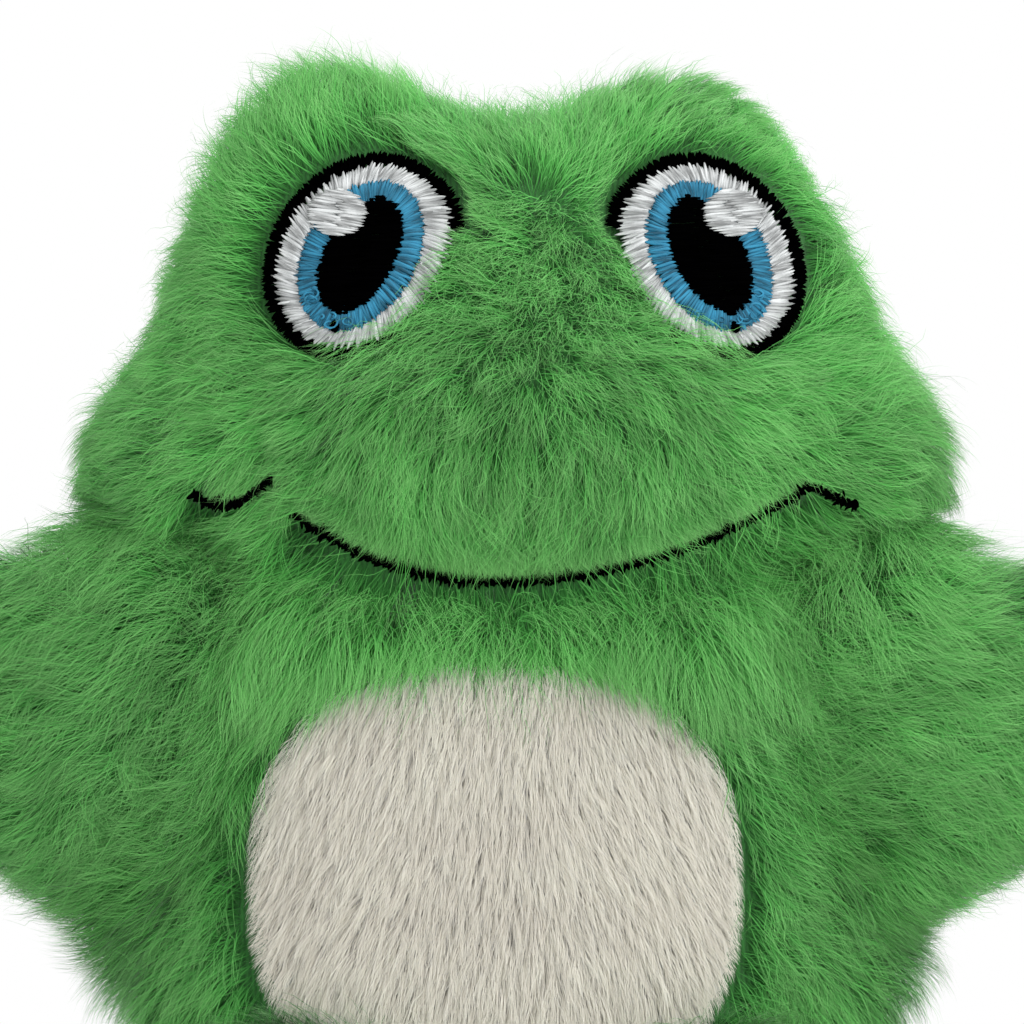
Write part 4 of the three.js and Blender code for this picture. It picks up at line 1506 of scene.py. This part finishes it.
class PLUSH_OT_eyes(Maker, bpy.types.Operator):
    """Embroiders both eyes ring by ring in satin stitch"""

    bl_idname = "plush.eyes"
    bl_label = "Eyes"

    def execute(self, context):
        draw = self.draws(context, DRAWS["eyes"])
        for side, sign in SIDES.items():
            eye = the_toy(context).eyes[side]
            bed = Bed([f"eye_{side}_{part}" for part in ("outline", "white", "iris", "pupil")])
            for ring in RINGS:
                layers = [
                    self.across_ring(context, draw, eye, ring, -sign, layer)
                    for layer in two_layers(ring, RING_SPACINGS, RING_PADDING)
                ]
                sew_stitches(self, context, draw, f"eye_{side}_{ring.part}", bed, layers, ring.colour)
            for fill in FILLS:
                slope = fill.slope * sign if fill.mirrored else fill.slope
                layers = [
                    self.level_rows(context, draw, eye[fill.part], fill.full, slope, layer)
                    for layer in two_layers(fill, FILL_SPACINGS, FILL_PADDING)
                ]
                sew_stitches(self, context, draw, f"eye_{side}_{fill.part}", bed, layers, fill.colour)
            self.loops(context, draw, side, bed, eye["iris"])
        return {"FINISHED"}

    @staticmethod
    def across_ring(context, draw, eye, ring, way, layer):
        """A layer of stitches across the ring between two ovals."""
        inner = eye[ring.inner]
        outer = inner if ring.part == "outline" else eye[ring.part]
        first, last = ring.arc
        pitch = context.scene.plush_stitch.pitch / MM * layer.spacing
        steps = int(math.pi * (outer.long + outer.short) / pitch * (last - first))
        turns = np.linspace(first, last, steps, endpoint=last - first != 1)
        turns = turns + draw.normal(0, TURN_UNEVEN / steps, steps)
        pointed = eye_point(turns % 1) * (ring.part != "iris")
        skews = draw.normal(0, RING_SKEW / steps, steps)
        starts = np.array([inner.point(turn * way, -UNDERLAP) for turn in turns - skews])
        ends = np.array([
            outer.point(turn * way, ring.grown + more) for turn, more in zip(turns + skews, pointed)
        ])
        return starts, ends, layer

    @staticmethod
    def level_rows(context, draw, oval, full, slope, layer):
        """A layer that fills an oval, out to a share of its size, with stitches that lie nearly
        level."""
        pitch = context.scene.plush_stitch.pitch / MM * layer.spacing
        reach = math.hypot(oval.long, oval.short)
        across = np.linspace(-reach, reach, ROW_SAMPLES)
        x = oval.middle[0] + across
        starts, ends = [], []
        for level in np.arange(-reach, reach, pitch):
            z = oval.middle[1] + level + across * (slope + draw.normal(0, ROW_SKEW))
            inside = np.flatnonzero(oval.share(x, z) < full)
            if len(inside) < 2:
                continue
            first, last = inside[0], inside[-1]
            stops = [first, last]
            if x[last] - x[first] > LONGEST_STITCH:
                stops.insert(1, int(draw.uniform(*STITCH_SPLIT) * (last - first)) + first)
            for a, b in zip(stops[:-1], stops[1:]):
                starts.append((x[a], z[a]))
                ends.append((x[b], z[b]))
        return np.array(starts), np.array(ends), layer

    def loops(self, context, draw, side, bed, iris):
        """A few slack loops of blue thread below the pupil."""
        lines = []
        for _ in range(LOOSE_LOOPS):
            turn = LOOP_PLACE + draw.normal(0, LOOP_SPREAD)
            middle = iris.point(turn, draw.uniform(*LOOP_INSETS))
            size = draw.uniform(*LOOP_SIZES)
            turns = draw.uniform(0, 2 * math.pi)
            turns += np.linspace(0, draw.uniform(*LOOP_TURNS), LOOP_STEPS)
            x = middle[0] + size * np.cos(turns)
            z = middle[1] + size * LOOP_SQUASH * np.sin(turns)
            arch = LOOP_ARCH * np.sin(np.linspace(0, math.pi, LOOP_STEPS))
            y = bed.y(x, z) - LOOP_HEIGHT - arch
            lines.append(np.stack([x, y, z], axis=1))
        radii = np.full(LOOP_STEPS, LOOP_RADIUS)
        points, faces, maps = tubes(np.array(lines), radii, draw.uniform(*LOOP_THREADS, LOOSE_LOOPS))
        blue = thread_material(context, "blue")
        piece = new_object(f"eye_{side}_loops", points, faces, blue, maps)
        self.dress(piece, "head", "thread_blue")


class PLUSH_OT_mouth(Maker, bpy.types.Operator):
    """Embroiders the smile and its two ticks in short cross stitches"""

    bl_idname = "plush.mouth"
    bl_label = "Mouth"

    def execute(self, context):
        draw = self.draws(context, DRAWS["mouth"])
        for node, line in the_toy(context).lines.items():
            layers = [self.stitches(context, draw, line, cross) for cross in CROSSES]
            sew_stitches(self, context, draw, node, line, layers, "black")
        return {"FINISHED"}

    @staticmethod
    def stitches(context, draw, line, cross):
        """A layer of short slanting stitches across a line, smaller towards its right end."""
        places = line.walk(context.scene.plush_stitch.pitch / MM * cross.spacing)
        count = len(places)
        ahead = unit(np.gradient(places, axis=0))
        side = np.stack([-ahead[:, 1], ahead[:, 0]], axis=1)
        way = unit(side + ahead * draw.normal(*CROSS_LEAN, count)[:, None])
        half = draw.uniform(*cross.halves, count)
        half *= 1 - SMILE_TAPER * smooth_step(*SMILE_RIGHT, places[:, 0])
        moved = draw.normal(0, cross.shift, count)
        starts = places - way * (half + moved)[:, None]
        ends = places + way * (half - moved)[:, None]
        return starts, ends, Layer(cross.spacing, cross.depth, CROSS_RAGGED, TOP_SIZE)


FELT = (0.02, 0.08, 0.025)


class PLUSH_OT_closing(Maker, bpy.types.Operator):
    """Gives the closing seam and the backings their finishes"""

    bl_idname = "plush.closing"
    bl_label = "Closing seam and backings"

    def execute(self, context):
        green = context.scene.plush_pile.middle_colour
        felt = fibre_finish("backing felt", FELT, grain=1500, depth=0.3)
        thread = fibre_finish("closing thread", green, grain=2600, depth=0.1)
        for name in ("eye_left_backing", "eye_right_backing", "mouth_backing", "closing_thread"):
            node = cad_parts[name]
            if not node.material_slots:
                raise RuntimeError(f"{name} has no material slot")
            for slot in node.material_slots:
                slot.material = thread if name == "closing_thread" else felt
        return {"FINISHED"}


Lamp = namedtuple("Lamp", "place size power")
LAMPS = {
    "key": Lamp((0.55, -1.3, 0.25), 1.2, 10.6),
    "top": Lamp((0.1, 0.1, 1.3), 0.9, 6.0),
    "rim": Lamp((0.1, 1.0, 0.6), 0.8, 4.5),
}
LAMPS_AIM = (0, 0, 0.07)
SURROUND_GREY = 0.6
FLOOR_GREYS = (0.8, 0.84)


class PLUSH_OT_stage(Maker, bpy.types.Operator):
    """Sets the floor, the soft studio light and the camera"""

    bl_idname = "plush.stage"
    bl_label = "Stage"

    def execute(self, context):
        stage = context.scene.plush_stage
        half = stage.floor_size / MM / 2
        corners = [(-half, -half, 0), (half, -half, 0), (half, half, 0), (-half, half, 0)]
        finish = Finish("pale floor")
        grain = finish.noise(900, 4, finish.place())
        dark, pale = ((grey, grey, grey) for grey in FLOOR_GREYS)
        material = finish.surface(
            Base_Color=finish.ramp(grain, [(0.3, dark), (0.7, pale)]), Roughness=0.8 + 0.1 * grain
        )
        new_object("floor", corners, [(0, 1, 2), (0, 2, 3)], material)
        for name, lamp in LAMPS.items():
            self.light(context, name, lamp)
        self.surround(context)
        data = bpy.data.cameras.new("camera")
        data.sensor_width = 36
        data.lens = data.sensor_width * stage.distance / stage.view_width
        data.clip_end = 20
        camera = bpy.data.objects.new("camera", data)
        camera.location = (0, -stage.distance, stage.view_height)
        camera.rotation_euler = (math.pi / 2, 0, 0)
        context.scene.collection.objects.link(camera)
        context.scene.camera = camera
        context.scene.view_settings.view_transform = "Standard"
        return {"FINISHED"}

    @staticmethod
    def light(context, name, lamp):
        data = bpy.data.lights.new(name, "AREA")
        data.shape = "DISK"
        data.size = lamp.size
        data.energy = lamp.power
        made = bpy.data.objects.new(name, data)
        made.location = lamp.place
        aim = Vector(LAMPS_AIM) - made.location
        made.rotation_euler = aim.to_track_quat("-Z", "Y").to_euler()
        context.scene.collection.objects.link(made)

    @staticmethod
    def surround(context):
        """White where the camera looks past the toy, and a soft pale light from all round."""
        studio = Finish("studio", "worlds")
        rays = ("Is Camera Ray", "Is Glossy Ray", "Is Transmission Ray")
        camera, glossy, through = studio.node("ShaderNodeLightPath", {}, {}, *rays)
        seen = camera.maths("MAXIMUM", camera, glossy)
        seen = seen.maths("MAXIMUM", seen, through)
        grey = (SURROUND_GREY, SURROUND_GREY, SURROUND_GREY, 1)
        colour = studio.mix(seen, grey, (1, 1, 1, 1))
        glow = studio.node("ShaderNodeBackground", {}, {"Color": colour}, "Background")
        studio.node("ShaderNodeOutputWorld", {}, {"Surface": glow})
        context.scene.world = studio.owner


OPERATORS = (
    PLUSH_OT_cloth,
    PLUSH_OT_filling,
    PLUSH_OT_head_pile,
    PLUSH_OT_body_pile,
    PLUSH_OT_belly_pile,
    PLUSH_OT_limb_pile,
    PLUSH_OT_eyes,
    PLUSH_OT_mouth,
    PLUSH_OT_closing,
    PLUSH_OT_stage,
)


class PLUSH_PT_panel(bpy.types.Panel):
    """Sizes, colours and steps of the plush frog"""

    bl_label = "Plush Frog"
    bl_idname = "PLUSH_PT_panel"
    bl_space_type = "VIEW_3D"
    bl_region_type = "UI"
    bl_category = "Plush Frog"

    def draw(self, context):
        for name, group in SETTINGS.items():
            box = self.layout.box()
            for prop in group.__annotations__:
                box.prop(getattr(context.scene, name), prop)
        for operator in OPERATORS:
            self.layout.operator(operator.bl_idname)


CLASSES = (*SETTINGS.values(), *OPERATORS, PLUSH_PT_panel)


def register():
    for cls in CLASSES:
        bpy.utils.register_class(cls)
    for name, group in SETTINGS.items():
        setattr(bpy.types.Scene, name, PointerProperty(type=group))


def unregister():
    for name in SETTINGS:
        delattr(bpy.types.Scene, name)
    for cls in reversed(CLASSES):
        bpy.utils.unregister_class(cls)


def main():
    register()
    for operator in OPERATORS:
        group, name = operator.bl_idname.split(".")
        getattr(getattr(bpy.ops, group), name)()


if __name__ == "__main__":
    main()
